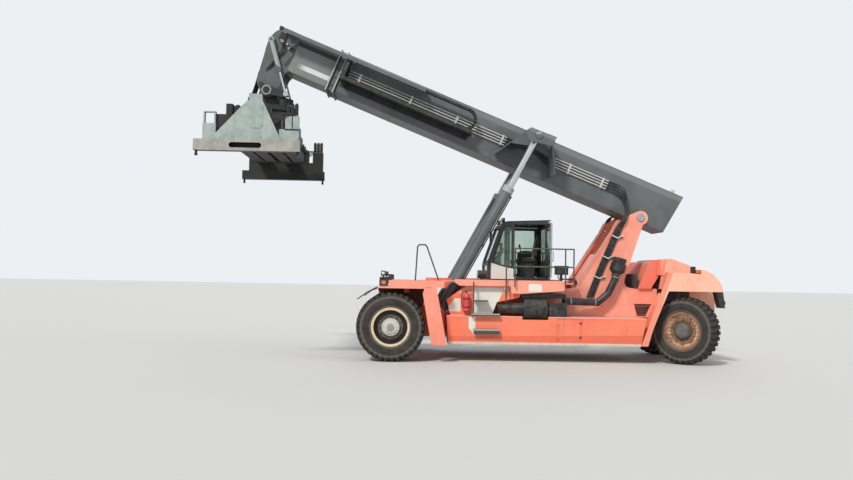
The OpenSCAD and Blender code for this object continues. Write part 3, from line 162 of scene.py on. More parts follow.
def new_material(name):
    """A new material and, as a field, the place on its object."""
    material = bpy.data.materials.new(name)
    material.use_nodes = True
    where = put(material.node_tree, "ShaderNodeTexCoord").outputs["Object"]
    return material, Field(where)


def surface(material, bump=None, **looks):
    """Sets the shader's inputs; bump is (height, strength, distance)."""
    shader = material.node_tree.nodes["Principled BSDF"]
    for name, value in looks.items():
        feed(shader.inputs[name.replace("_", " ")], value)
    if bump:
        height, strength, distance = bump
        feed(shader.inputs["Normal"], height.beside("ShaderNodeBump", Height=height,
                                                    Strength=strength, Distance=distance))
    return material


ground_mesh = bpy.data.meshes.new("ground")
ground_mesh.from_pydata([(-GROUND_HALF, -GROUND_HALF, 0), (GROUND_HALF, -GROUND_HALF, 0),
                         (GROUND_HALF, GROUND_HALF, 0), (-GROUND_HALF, GROUND_HALF, 0)],
                        [], [(0, 1, 2, 3)])
concrete, where = new_material("pale_concrete")
ground_mesh.materials.append(surface(concrete, Base_Color=srgb(206, 204, 199), Roughness=0.9))
link("ground", ground_mesh)

world = bpy.data.worlds.new("open_sky")
bpy.context.scene.world = world
world.use_nodes = True
ray = put(world.node_tree, "ShaderNodeLightPath").outputs
seen = Field(ray["Is Camera Ray"]) | ray["Is Transmission Ray"]
seen = seen | Field(ray["Is Glossy Ray"]) * 0.75
feed(world.node_tree.nodes["Background"].inputs["Color"],
     lay((0.42, 0.46, 0.52, 1), seen, (0.84, 0.87, 0.90, 1)))
WARM, COOL = (1.0, 0.97, 0.92), (0.92, 0.96, 1.0)
for name, towards, strength, spread, tint in (
        ("sun", (0.42, 0.70, -0.78), 2.5, 9, WARM), ("fill", (-0.75, 0.25, -0.35), 0.45, 40, COOL),
        ("rear_fill", (-0.1, -0.8, -0.5), 0.5, 50, COOL)):
    lamp = bpy.data.lights.new(name, "SUN")
    lamp.energy, lamp.angle, lamp.color = strength, radians(spread), tint
    link(name, lamp).rotation_euler = Vector(towards).to_track_quat("-Z", "Y").to_euler()

# ---------------------------------------------------------------- tyres
# Six tyres of the block lug kind on the drive axle and the steering axle: black rubber gone
# grey-brown with dust, a staggered ring of moulded lugs and a pale scuffed ring at the shoulder.
TYRE_RADIUS, TYRE_WIDTH, LUGS, LUG_FLARE = 0.81, 0.50, 34, 1.12
WHEEL_HEIGHT = 0.81
FRONT_OUTER, FRONT_INNER = 1.78, 1.21
KINGPIN_X, KINGPIN_Y, REAR_OFFSET, STEER = 7.18, 1.30, 0.10, radians(40)


def finish(name, bm, body, material, smooth=35, bevel=0.0):
    """Turns a bmesh into a piece of the machine that rides on a body."""
    bmesh.ops.remove_doubles(bm, verts=bm.verts, dist=1e-5)
    bmesh.ops.recalc_face_normals(bm, faces=bm.faces)
    mesh = bpy.data.meshes.new(name)
    bm.to_mesh(mesh)
    bm.free()
    item = link(name, mesh)
    mesh.materials.clear()
    mesh.materials.append(material)
    for face in mesh.polygons:
        face.use_smooth = smooth > 0
    if smooth:
        mesh.set_sharp_from_angle(angle=radians(smooth))
    if bevel:
        cut = item.modifiers.new("edge", "BEVEL")
        cut.width, cut.segments, cut.limit_method, cut.angle_limit = bevel, 2, "ANGLE", radians(40)
    if body:
        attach(item, body)
    return item


def loft(bm, sections, closed=False):
    """Skins a row of sections; closed joins the last to the first, else both get a cap."""
    rows = [[bm.verts.new(p) for p in section] for section in sections]
    for a, b in zip(rows, rows[1:] + rows[:1] if closed else rows[1:]):
        for j in range(len(a)):
            bm.faces.new((a[j - 1], a[j], b[j], b[j - 1]))
    if not closed:
        bm.faces.new(rows[0])
        bm.faces.new(rows[-1])


def circle(count, radius, first=0.0):
    """Points round the Y axis."""
    return [Vector((radius * cos(a), 0, radius * sin(a)))
            for a in (2 * pi * i / count + first for i in range(count))]


def revolve(bm, profile, place, steps=72):
    """A closed profile of (distance along, radius) turned about the local Y axis."""
    loft(bm, [[place @ (d * r + Vector((0, y, 0))) for y, r in profile] for d in circle(steps, 1)],
         closed=True)


def repeat_tree(name, build, **settings):
    """A geometry tree that sets copies of a shape on points; settings are (kind, value)."""
    tree = bpy.data.node_groups.new(name, "GeometryNodeTree")
    for way in ("INPUT", "OUTPUT"):
        tree.interface.new_socket("Geometry", in_out=way, socket_type="NodeSocketGeometry")
    for title, (kind, value) in settings.items():
        tree.interface.new_socket(title, in_out="INPUT",
                                  socket_type="NodeSocket" + kind).default_value = value
    tree.interface.new_socket("Finish", in_out="INPUT", socket_type="NodeSocketMaterial")
    given = tree.nodes.new("NodeGroupInput").outputs
    copies = put(tree, "GeometryNodeInstanceOnPoints", Instance=given["Geometry"],
                 **build(tree, given))
    real = put(tree, "GeometryNodeRealizeInstances", Geometry=copies.outputs[0])
    dressed = put(tree, "GeometryNodeSetMaterial", Geometry=real.outputs[0],
                  Material=given["Finish"])
    feed(tree.nodes.new("NodeGroupOutput").inputs[0], dressed.outputs[0])
    return tree


def ring_of(tree, given):
    """Points on one spot, each turned further about the Y axis."""
    line = put(tree, "GeometryNodeMeshLine", Count=given["Count"], Offset=(0, 0, 0))
    index = Field(put(tree, "GeometryNodeInputIndex").outputs[0])
    angle = calc("MULTIPLY_ADD", calc("DIVIDE", index, given["Count"]), 2 * pi, given["First"])
    return {"Points": line.outputs[0], "Rotation": index.beside("ShaderNodeCombineXYZ", Y=angle)}


ring_tree = repeat_tree("ring_of_pieces", ring_of, Count=("Int", 12), First=("Float", 0.0))


def worked(bm, tree, material, **inputs):
    """Runs a geometry tree on a shape and returns the plain mesh that comes out."""
    mesh = bpy.data.meshes.new("made")
    bmesh.ops.recalc_face_normals(bm, faces=bm.faces)
    bm.to_mesh(mesh)
    bm.free()
    holder = link("made", mesh)
    modifier = holder.modifiers.new("repeat", "NODES")
    modifier.node_group = tree
    inputs["Finish"] = material
    for socket in tree.interface.items_tree:
        if socket.in_out == "INPUT" and socket.name in inputs:
            modifier[socket.identifier] = inputs[socket.name]
    bpy.context.view_layer.update()
    seen = holder.evaluated_get(bpy.context.evaluated_depsgraph_get())
    result = bpy.data.meshes.new_from_object(seen)
    bpy.data.objects.remove(holder)
    return result


def add_mesh(bm, mesh, place=Matrix.Identity(4)):
    mesh.transform(place)
    if place.determinant() < 0:
        mesh.flip_normals()
    bm.from_mesh(mesh)


def axes(vector):
    """The three parts of a vector, as fields."""
    parts = put(vector.tree, "ShaderNodeSeparateXYZ", Vector=vector).outputs
    return [Field(part) for part in parts]


def wheel_reach(where, centre, angle):
    """Distance from a wheel's axle, for patterns that run round the wheel."""
    moved = where.beside("ShaderNodeMapping", vector_type="TEXTURE", Vector=where,
                         Location=centre, Rotation=(0, 0, angle))
    x, y, z = axes(moved)
    flat = where.beside("ShaderNodeCombineXYZ", X=x, Y=z)
    return where.beside("ShaderNodeVectorMath", "Value", operation="LENGTH", i0=flat)


def rubber(name, centre, angle):
    material, where = new_material(name)
    reach = wheel_reach(where, centre, angle)
    dust, fine = clouds(where, 5.0, 8.0, 0.65), clouds(where, 60.0, 4.0, 0.7)
    ring = step(reach, 0.64, 0.685) * ~step(reach, 0.695, 0.73)
    bead = step(reach, 0.455, 0.47) * ~step(reach, 0.485, 0.515)
    tread = step(reach, 0.785, 0.805)
    colour = lay(srgb(42, 40, 38), step(dust, 0.35, 0.75) * 0.55 + fine * 0.25, srgb(82, 76, 70))
    colour = lay(colour, (ring | bead) * 0.5, srgb(128, 121, 112))
    colour = lay(colour, tread * 0.5, srgb(66, 62, 60))
    return surface(material, (fine, 0.35, 0.004), Base_Color=colour, Roughness=0.86,
                   Specular_IOR_Level=0.35)


def tyre_into(bm, place, material):
    """One tyre: carcass with its bead, ribs and moulded ring, and two staggered rings of lugs."""
    h, outer = TYRE_WIDTH / 2, TYRE_RADIUS - 0.034
    side = [(0.0, outer), (h * 0.5, outer - 0.002)]
    side += [(h - inset, outer - drop) for inset, drop in (
        (0.075, 0.010), (0.035, 0.035), (0.014, 0.085), (0.004, 0.13), (0, 0.175), (0, 0.205),
        (0.004, 0.215), (0.002, 0.235), (0.012, 0.258))]
    side += [(h - inset, r) for inset, r in (
        (0.024, 0.505), (0.016, 0.494), (0.020, 0.478), (0.042, 0.460), (0.060, 0.448),
        (0.060, 0.4265))]
    revolve(bm, side + [(-y, r) for y, r in reversed(side[1:])], place, 96)
    for hand in (1, -1):
        lug, rows = bmesh.new(), []
        # Stations from the tyre's middle outwards: place across, lean, half thickness, drop
        for n, (y, lean, half, drop) in enumerate((
                (0.012, 0.0, 0.031, 0.0), (0.09, 0.012, 0.037, 0.0005), (0.165, 0.02, 0.043, 0.005),
                (0.212, 0.026, 0.044, 0.026), (0.240, 0.030, 0.040, 0.085),
                (0.249, 0.032, 0.034, 0.135))):
            r = TYRE_RADIUS - drop
            foot = (LUG_FLARE, y - (0.012 if n > 2 else 0), r - (0.05 if n < 4 else 0.03))
            rows.append([Vector((lean + way * half * flare, hand * across, reach))
                         for way, (flare, across, reach) in (
                             (1, (1, y, r)), (-1, (1, y, r)), (-1, foot), (1, foot))])
        loft(lug, rows)
        first = 0.0 if hand > 0 else pi / LUGS
        add_mesh(bm, worked(lug, ring_tree, material, Count=LUGS, First=first), place)


def tyres(name, body, node, places, centre, angle):
    material = rubber(name + "_rubber", centre, angle)
    bm = bmesh.new()
    for place in places:
        tyre_into(bm, place, material)
    item = finish(name, bm, body, material, 40)
    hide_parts(node)


def rear_place(hand):
    """Where a steered wheel stands: turned about its kingpin, its outer face towards +Y."""
    return (Matrix.Translation(at(KINGPIN_X, hand * KINGPIN_Y, WHEEL_HEIGHT))
            @ Matrix.Rotation(-STEER, 4, "Z") @ Matrix.Diagonal((1, hand, 1, 1))
            @ Matrix.Translation((0, REAR_OFFSET, 0)))


SIDES = (("left", -1), ("right", 1))
for side, hand in SIDES:
    places = [Matrix.Translation(at(0, hand * y, WHEEL_HEIGHT)) for y in (FRONT_OUTER, FRONT_INNER)]
    tyres(f"front_{side}_lug_tyres", f"front_{side}_wheels", f"front_{side}_tyres", places,
          at(0, 0, WHEEL_HEIGHT), 0.0)
    place = rear_place(hand)
    tyres(f"rear_{side}_lug_tyre", f"rear_{side}_wheel", f"rear_{side}_tyre", [place],
          place.translation, -STEER)

# ---------------------------------------------------------------- wheels
# Pressed steel rims with a loose lock ring, wedged on by ring nuts: the front ones cream with a
# bolted hub reduction and painted shade in the dish between hub and rim, the rear ones rusty round
# a grey hexagonal hub.
def wheel_paint(name, centre, angle, rings, rust):
    """rings are rows of (radius, colour) from the axle outwards."""
    material, where = new_material(name)
    reach = wheel_reach(where, centre, angle)
    colour = rings[0][1]
    for radius, paint in rings[1:]:
        colour = lay(colour, step(reach, radius - 0.006, radius + 0.006), paint)
    fine = clouds(where, 90.0, 3.0, 0.7)
    rusty = step(clouds(where, 9.0, 9.0, 0.72), 0.62 - rust, 0.80 - rust)
    colour = lay(colour, rusty * 0.85, lay(srgb(96, 56, 34), fine, srgb(150, 96, 62)))
    grime = step(clouds(where, 3.0, 6.0), 0.45, 0.75)
    colour = lay(colour, grime * 0.45, srgb(70, 64, 58))
    rough = rusty.beside("ShaderNodeMapRange", Value=rusty, i3=0.45, i4=0.9)
    return surface(material, (fine + rusty, 0.25, 0.003), Base_Color=colour, Roughness=rough)


def dress(material, *nodes):
    """Gives a material to nodes of the part."""
    for node in nodes:
        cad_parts[node].data.materials[0] = material
    return material


def lifted(points, y, scale=1.0):
    return [p * scale + Vector((0, y, 0)) for p in points]


def nut(bm, across, height, base=0.0, washer=0.0):
    """A hexagon nut that stands out along +Y, with a chamfered top and its washer."""
    ring = circle(6, across)
    loft(bm, [lifted(ring, base), lifted(ring, base + height * 0.85),
              lifted(ring, base + height, 0.86)])
    if washer:
        disc = circle(16, washer)
        loft(bm, [lifted(disc, base - 0.004), lifted(disc, base + 0.006)])


def nut_ring(bm, place, material, count, radius, y, across, height, first=0.0):
    one = bmesh.new()
    nut(one, across, height, y, across * 1.25)
    for v in one.verts:
        v.co.z += radius
    add_mesh(bm, worked(one, ring_tree, material, Count=count, First=first), place)


def rim_fittings(bm, place, paint, face, wedge, nuts):
    """Lock ring at the rim's face, wedge ring, and nuts as rows of nut_ring's last values."""
    lock = ((0.062, 0.435), (0.048, 0.457), (0.040, 0.455), (0.037, 0.437), (0.045, 0.420),
            (0.052, 0.405), (0.062, 0.405))
    revolve(bm, [(face - inset, r) for inset, r in lock], place, 96)
    revolve(bm, [(wedge + y, r) for y, r in (
        (0, 0.393), (0.036, 0.393), (0.046, 0.385), (0.046, 0.374), (0, 0.368))], place)
    for row in nuts:
        nut_ring(bm, place, paint, *row)


# The dark ring of the front rims, from 0.295 m out to the lock ring, is painted shade in the dish
front_rings = [(0.0, srgb(150, 146, 138)), (0.08, srgb(208, 206, 198)), (0.205, srgb(112, 104, 92)),
               (0.295, srgb(44, 40, 37)), (0.398, srgb(226, 200, 172))]
rear_rings = [(0.0, srgb(104, 108, 108)), (0.19, srgb(92, 68, 50)), (0.25, srgb(150, 116, 86)),
              (0.325, srgb(214, 188, 156)), (0.395, srgb(158, 112, 84))]
FRONT_WEDGE, REAR_WEDGE, HUB_TURN = FRONT_OUTER + 0.036, 0.133, 0.3
HUB_CAP = FRONT_OUTER + 0.190
for side, hand in SIDES:
    centre = at(0, 0, WHEEL_HEIGHT)
    place = Matrix.Translation(centre) @ Matrix.Diagonal((1, hand, 1, 1))
    paint = dress(wheel_paint(f"front_{side}_rim_paint", centre, 0.0, front_rings, 0.06),
                  f"front_{side}_rims")
    bm = bmesh.new()
    rim_fittings(bm, place, paint, FRONT_OUTER + TYRE_WIDTH / 2, FRONT_WEDGE, (
        (24, 0.342, FRONT_WEDGE, 0.019, 0.036), (12, 0.265, FRONT_OUTER + 0.103, 0.020, 0.022),
        (16, 0.185, FRONT_OUTER + 0.160, 0.012, 0.016), (8, 0.115, HUB_CAP, 0.011, 0.014)))
    revolve(bm, [(HUB_CAP, 0.085), (HUB_CAP + 0.025, 0.080), (HUB_CAP + 0.025, 0.0),
                 (HUB_CAP, 0.0)], place, 48)
    finish(f"front_{side}_rim_fittings", bm, f"front_{side}_wheels", paint, 35)

    place = rear_place(hand)
    paint = dress(wheel_paint(f"rear_{side}_rim_paint", place.translation, -STEER, rear_rings,
                              0.16), f"rear_{side}_rim")
    bm = bmesh.new()
    rim_fittings(bm, place, paint, TYRE_WIDTH / 2, REAR_WEDGE, (
        (24, 0.350, REAR_WEDGE, 0.018, 0.034), (10, 0.290, 0.155, 0.024, 0.026),
        (6, 0.142, 0.232, 0.013, 0.016, HUB_TURN)))
    # Six-sided hub
    loft(bm, [[place @ p for p in lifted(circle(6, 0.180, HUB_TURN), y, scale)]
              for y, scale in ((0.1871, 1), (0.222, 1), (0.232, 0.9))])
    finish(f"rear_{side}_rim_fittings", bm, f"rear_{side}_wheel", paint, 35)

# ---------------------------------------------------------------- red plate work
# Welded steel plate, once orange-red and now faded to salmon, with rain streaks, chips and dust.
# The long lower boxes keep a deeper stripe and a cream strip along the foot.
def facing_up(where):
    return axes(where.beside("ShaderNodeNewGeometry", "Normal"))[2]


def coat(name, fresh, faded, zones=None, chips=0.5, grime=0.5, gloss=0.42,
         chip_colour=srgb(92, 60, 48), dust_colour=srgb(150, 132, 116)):
    """Old paint on plate; zones is a function that lays further colours over the first."""
    material, where = new_material(name)
    x, y, z = axes(where)
    patchy, fine = clouds(where, 4.5, 8.0, 0.65), clouds(where, 55.0, 4.0, 0.7)
    colour = lay(fresh, step(clouds(where, 0.8) + patchy * 0.35, 0.45, 0.85), faded)
    if zones:
        colour = zones(x, y, z, patchy, colour)
    streak = clouds(where, 7.0, stretch=(1.0, 1.0, 0.06))
    run = step(streak, 0.54, 0.74) * step(patchy, 0.40, 0.62)
    colour = lay(colour, run * (0.42 * grime), srgb(88, 64, 54))
    splash = ~step(z, 0.35, 1.1) * step(patchy, 0.42, 0.66)
    colour = lay(colour, splash * (0.5 * grime), dust_colour)
    settled = step(facing_up(where), 0.6, 0.95) * step(patchy, 0.3, 0.6)
    colour = lay(colour, settled * 0.35, srgb(176, 168, 156))
    bare = step(fine * clouds(where, 2.2, 9.0, 0.75), 0.42 - 0.05 * chips, 0.44 - 0.05 * chips)
    colour = lay(colour, bare * 0.8, chip_colour)
    height = fine * 0.35 - bare + clouds(where, 1.6, 2.0) * 2.0
    return surface(material, (height, 0.3, 0.003), Base_Color=colour,
                   Roughness=patchy * 0.25 + gloss | bare * 0.85)


def between(value, low, high, soft=0.004):
    return step(value, low - soft, low + soft) * ~step(value, high - soft, high + soft)


salmon, deep_red, cream = srgb(246, 152, 126), srgb(232, 104, 76), srgb(232, 228, 216)


def box_zones(x, y, z, patchy, colour):
    """Stripe, cream foot and a painted highlight along the top edge of the lower box, cream field
    by the steps.
    """
    x = x + FRONT_AXLE_TO_ORIGIN
    colour = lay(colour, step(x * 0.018 + 0.575 - z, -0.004, 0.004) * 0.85, deep_red)
    # The deck's edge plate has bleached further than the box
    colour = lay(colour, step(z, 1.60, 1.66) * 0.85, srgb(250, 168, 146))
    colour = lay(colour, ~step(z, 0.476, 0.482) * step(patchy, 0.30, 0.34), srgb(214, 200, 178))
    # Painted highlight: a lighter band along the lower box's lit top edge
    colour = lay(colour, step(z, 1.062, 1.068) * ~step(z, 1.10, 1.11) * 0.55, srgb(246, 196, 178))
    # Cream field on the panel behind the steps, with a slanting rear edge
    field = step(x, 1.968, 1.972) * ~step(x - (z * 0.46 + 1.905), -0.002, 0.002)
    field = field * step(z, 1.098, 1.10) * ~step(z, 1.765, 1.768) * ~step(abs(y), 1.599, 1.6005)
    colour = lay(colour, field, cream)
    # What remains of it: a tongue on the box below, and a patch by the cylinder's foot
    tongue = step(z - (x * -1.30 + 3.21), -0.01, 0.01) * ~step(z, 1.062, 1.068)
    tongue = tongue * between(x, 1.85, 2.01, 0.002)
    patch = step(x * 1.30 - 0.483 - z, -0.01, 0.01) * between(z, 1.185, 1.495, 0.005)
    patch = patch * ~step(x, 1.655, 1.665)
    colour = lay(colour, tongue | patch, cream)
    plate = between(x, 3.27, 3.59, 0.002) * between(z, 1.69, 1.87, 0.002)
    return lay(colour, plate, srgb(232, 228, 218))


def tower_zones(x, y, z, patchy, colour):
    """The tower's front flanges are a darker, shaded red-brown towards the deck."""
    lean = x + FRONT_AXLE_TO_ORIGIN - (z * 0.61 + 3.54)
    return lay(colour, ~step(lean, 0.0, 0.01) * step(z, 1.80, 1.86) * 0.35, srgb(196, 84, 66))


def hood_zones(x, y, z, patchy, colour):
    """The two narrow front pieces are painted a deeper red than the wide rear one: painted shade on
    the sloped front, which stands in shade.
    """
    front = ~step(abs(y), 0.992, 0.996) * ~step(x + FRONT_AXLE_TO_ORIGIN, 6.60, 6.64)
    return lay(colour, front * 0.75, srgb(232, 104, 80))


def weight_zones(x, y, z, patchy, colour):
    """The leg ahead of the wheel and the face over it are painted redder and darker than the pale
    rear: painted shade, against upper faces painted pale as in strong sun.
    """
    lean = x + FRONT_AXLE_TO_ORIGIN - (z * 0.34 + 5.98)
    colour = lay(colour, ~step(lean, 0.0, 0.02) * 0.7, srgb(240, 128, 104))
    return lay(colour, ~step(z, 1.2, 1.7) * 0.5, srgb(248, 150, 124))


def arch_zones(x, y, z, patchy, colour):
    """The arch's inner liner is painted near black: painted shade inside the arch, with road dirt.
    """
    return lay(colour, ~step(abs(y), 0.96, 1.0) * 0.85, srgb(44, 34, 30))


frame_red = dress(coat("frame_red", deep_red, salmon, grime=0.9), "chassis_frame")
box_red = dress(coat("box_red", srgb(244, 118, 88), srgb(250, 134, 102), box_zones),
                "side_boxes", "side_hatch")
for name, node, fresh, faded, zones, grime, chips in (
        ("tower_red", "tower", (242, 148, 124), (250, 176, 152), tower_zones, 0.4, 0.5),
        ("hood_red", "engine_hood", (242, 156, 132), (250, 178, 152), hood_zones, 0.4, 0.3),
        ("arch_red", "front_fenders", (246, 140, 114), (250, 160, 136), arch_zones, 0.4, 0.3),
        ("weight_red", "counterweight", (246, 172, 144), (252, 194, 166), weight_zones, 0.5, 0.5)):
    dress(coat(name, srgb(*fresh), srgb(*faded), zones, chips, grime), node)


def block(bm, low, high, place=Matrix.Identity(4)):
    """A box between two opposite corners."""
    x, y, z = (sorted(ends) for ends in zip(low, high))
    corners = [bm.verts.new(place @ Vector((a, b, c))) for a in x for b in y for c in z]
    for face in ((0, 1, 3, 2), (4, 6, 7, 5), (0, 4, 5, 1), (2, 3, 7, 6), (0, 2, 6, 4),
                 (1, 5, 7, 3)):
        bm.faces.new([corners[i] for i in face])


def slab(bm, outline, y0, y1, place=Matrix.Identity(4)):
    """A flat outline in X and Z given a thickness from y0 to y1."""
    loft(bm, [[place @ Vector((x, y, z)) for x, z in outline] for y in (y0, y1)])


def rounded(points, radius, steps=5):
    """An outline with its corners rounded."""
    out = []
    for i, p in enumerate(points):
        p = Vector(p)
        to_a, to_b = Vector(points[i - 1]) - p, Vector(points[(i + 1) % len(points)]) - p
        cut = min(radius, to_a.length * 0.45, to_b.length * 0.45)
        start, end = p + to_a.normalized() * cut, p + to_b.normalized() * cut
        for t in (k / steps for k in range(steps + 1)):
            out.append(tuple(start * (1 - t) ** 2 + p * 2 * t * (1 - t) + end * t ** 2))
    return out


def round_bar(bm, a, b, radius, sides=16, end_radius=None):
    """A round bar, cone or disc between two points, closed at both ends."""
    a, b = Vector(a), Vector(b)
    turn = (b - a).to_track_quat("Z", "Y").to_matrix()
    ring = [turn @ Vector((p.x, p.z, 0)) for p in circle(sides, 1)]
    far = radius if end_radius is None else end_radius
    loft(bm, [[a + p * radius for p in ring], [b + p * far for p in ring]])


def stud(bm, foot, way, radius, sides=16, end_radius=None):
    """A round bar that stands on a point, as long as way."""
    round_bar(bm, foot, Vector(foot) + Vector(way), radius, sides, end_radius)


def smooth_path(points, steps):
    """A smooth line through the given points."""
    pts = [points[0] * 2 - points[1], *points, points[-1] * 2 - points[-2]]
    line = []
    for p0, p1, p2, p3 in zip(pts, pts[1:], pts[2:], pts[3:]):
        for t in (k / steps for k in range(steps)):
            line.append(0.5 * (2 * p1 + (p2 - p0) * t + (2 * p0 - 5 * p1 + 4 * p2 - p3) * t * t
                               + (3 * p1 - p0 - 3 * p2 + p3) * t ** 3))
    return line + [points[-1]]


def hose(bm, points, radius, sides=8, smooth=6, place=None):
    """A tube along points that place maps out, smoothed unless smooth is 0."""
    line = [place(*p) if place else Vector(p) for p in points]
    line = smooth_path(line, smooth) if smooth else line
    rings = []
    side = (line[1] - line[0]).normalized().orthogonal().normalized()
    for i, p in enumerate(line):
        ahead = (line[min(i + 1, len(line) - 1)] - line[max(i - 1, 0)]).normalized()
        side = (side - ahead * side.dot(ahead)).normalized()
        other = ahead.cross(side)
        rings.append([p + (side * q.x + other * q.z) * radius for q in circle(sides, 1)])
    loft(bm, rings)


def row_of(tree, given):
    """Points in a row."""
    line = put(tree, "GeometryNodeMeshLine", Count=given["Count"], Start_Location=given["First"],
               Offset=given["Step"])
    return {"Points": line.outputs[0]}


row_tree = repeat_tree("row_of_pieces", row_of, Count=("Int", 4), First=("Vector", (0, 0, 0)),
                       Step=("Vector", (0.1, 0, 0)))


def bolt_row(bm, count, first, stride, out, size, material):
    """A row of bolt heads that stand out along a direction."""
    one = bmesh.new()
    nut(one, size, size * 0.8, 0.0, size * 1.3)
    turn = Vector((0, 1, 0)).rotation_difference(Vector(out)).to_matrix().to_4x4()
    bmesh.ops.transform(one, matrix=turn, verts=one.verts)
    add_mesh(bm, worked(one, row_tree, material, Count=count, First=tuple(first), Step=stride))


# Seams, hinges, latch, label plate and drain lips of the lower boxes, and the wheel house's face
TO_ROW = Matrix.Translation((-FRONT_AXLE_TO_ORIGIN, 0, 0))
BOX_SIDE = 1.62
bm = bmesh.new()
for side, hand in SIDES:
    y = hand * BOX_SIDE
    strips = [(1.39, 5.94, 0.418, 0.452, 0.012), (3.83, 3.836, 0.46, 1.06, 0.004),
              (2.17, 2.176, 0.46, 1.06, 0.004)]
    strips += [(x0, x1, 1.066, 1.09, 0.008) for x0, x1 in (
        ((1.345, 3.10), (3.785, 6.09)) if hand < 0 else ((1.345, 6.09),))]
    strips += [(x, x + 0.05, 0.412, 0.425, 0.02) for x in (1.55, 2.6, 3.2, 4.9, 5.5)]
    for x0, x1, z0, z1, out in strips:
        block(bm, at(x0, y, z0), at(x1, y + hand * out, z1))
    if hand > 0:
        plate = rounded([(3.96, 0.5), (3.96, 1.04), (4.58, 1.04), (4.49, 0.5)], 0.02)
        slab(bm, plate, y, y + 0.006, TO_ROW)
    for count, x, z, pitch in ((4, 2.05, 1.70, 0.19), (3, 1.50, 1.16, 0.16)):
        bolt_row(bm, count, at(x, hand * 1.49, z), (pitch, 0, 0), (0, hand, 0), 0.010, frame_red)
    slab(bm, [(6.566, 1.802), (6.574, 1.802), (6.636, 2.14), (6.628, 2.14)],
         hand * 1.0, hand * 1.312, TO_ROW)
finish("box_fittings", bm, "chassis", box_red, 30, 0.0015)


def soft_black(name, colour, rough, scale=30.0, dust=0.35, bump_size=0.002, metallic=0.0):
    """Dusty black or grey part: rubber, plastic or paint, by its roughness."""
    material, where = new_material(name)
    fine, patchy = clouds(where, scale, 4.0, 0.65), clouds(where, 6.0, 7.0, 0.65)
    amount = (step(patchy, 0.4, 0.7) + step(facing_up(where), 0.3, 0.9) * 0.9) * dust
    pale = tuple(c * 0.5 + d * 0.5 for c, d in zip(colour, srgb(150, 142, 132)))
    return surface(material, (fine, 0.3, bump_size), Base_Color=lay(colour, amount, pale),
                   Roughness=fine * 0.25 + (rough - 0.1), Metallic=metallic)


black_paint = soft_black("black_paint", srgb(34, 34, 35), 0.5)
black_rubber = dress(soft_black("hose_rubber", srgb(28, 28, 29), 0.62, 60.0), "tower_hoses")
black_plastic = dress(soft_black("black_plastic", srgb(30, 31, 33), 0.42, 120.0),
                      "work_lamps", "air_intake", "cab_console")
dress(soft_black("rail_grey", srgb(66, 68, 64), 0.5), "deck_rails")
dress(soft_black("axle_cast_grey", srgb(70, 68, 64), 0.75, 22.0, 0.5, 0.004),
      "axles", "engine_block", "left_knuckle", "right_knuckle")
bm = bmesh.new()
for z in (0.955, 0.62):
    block(bm, at(4.50, -1.640, z - 0.02), at(4.545, -1.632, z + 0.02))
    stud(bm, at(4.522, -1.632, z), (0, -0.023, 0), 0.012)
finish("hatch_latches", bm, "side_hatch", black_paint, 30, 0.002)

# ---------------------------------------------------------------- boom
# Two welded boxes of grey painted plate that slide in each other. The inner one is rubbed
# bare where its pads run, and the outer one ends in two collar ribs.
PIVOT, SLOPE = at(6.15, 0, 3.55), radians(22)
BOOM = Matrix(((-cos(SLOPE), 0, sin(SLOPE)), (0, 1, 0), (sin(SLOPE), 0, cos(SLOPE)))).to_4x4()
BOOM.translation = PIVOT
COLLAR, BOOM_LOW, BOOM_TOP, BOOM_HALF = 8.54, -0.05, 0.98, 0.5
SQUARE = ((-1, -1), (1, -1), (1, 1), (-1, 1))


def along(s, y, t):
    """A point s metres along the boom from its foot pin and t above the pin's line."""
    return BOOM @ Vector((s, y, t))


def boom_coordinates(x, z):
    """Distance along the boom and height above its line."""
    x, z = x - PIVOT.x, z - PIVOT.z
    return x * -cos(SLOPE) + z * sin(SLOPE), x * sin(SLOPE) + z * cos(SLOPE)


def outer_zones(x, y, z, patchy, colour):
    """Bleached top edge, shade under the chain's tray, painted highlight on the collar ribs and
    painted shadow behind each rib.
    """
    s, t = boom_coordinates(x, z)
    colour = lay(colour, step(t, 0.80, 0.86) * 0.35, srgb(150, 154, 154))
    shade = between(t, 0.12, 0.31, 0.015) * between(s, 4.75, COLLAR - 0.30, 0.03)
    colour = lay(colour, shade * step(abs(y), 0.495, 0.499) * 0.96, srgb(20, 21, 23))
    # Painted highlight on the lit collar ribs; rib_shadow is painted shadow on the boom just behind
    # each rib
    ribs = between(s, COLLAR - 0.222, COLLAR - 0.183) | between(s, COLLAR - 0.037, COLLAR + 0.002)
    colour = lay(colour, ribs * step(abs(y), 0.503, 0.506) * 0.75, srgb(196, 198, 194))
    rib_shadow = between(s, COLLAR - 0.085, COLLAR - 0.045) | between(s, COLLAR - 0.275, COLLAR - 0.225)
    return lay(colour, rib_shadow * 0.85, srgb(26, 27, 28))


def inner_zones(x, y, z, patchy, colour):
    """Grease and shade under the carrier, and the strip that the pads rub bare."""
    s, t = boom_coordinates(x, z)
    drawn_out = s.beside("ShaderNodeCombineXYZ", X=s * 0.35, Y=t * 26.0)
    scratch = clouds(drawn_out, 2.0, 6.0, 0.7)
    side = step(abs(y), 0.44, 0.45)
    colour = lay(colour, between(t, 0.68, 0.90, 0.012) * side * 0.92, srgb(30, 31, 32))
    dull = between(t, 0.04, 0.33, 0.03) * step(scratch, 0.34, 0.52) * side
    colour = lay(colour, dull * 0.30, srgb(132, 134, 132))
    bare = between(t, 0.15, 0.27, 0.012) * ~step(s, 9.15, 9.45) * step(scratch, 0.26, 0.42) * side
    return lay(colour, bare * 0.95, srgb(226, 226, 222))


def head_zones(x, y, z, patchy, colour):
    """The carrier's upper side, on top of the boom, is painted a pale grey-green: dust, and painted
    light on its up-facing side.
    """
    s, t = boom_coordinates(x, z)
    return lay(colour, step(t, 0.862, 0.868) * ~step(s, 9.6, 9.8) * 0.8, srgb(160, 166, 154))


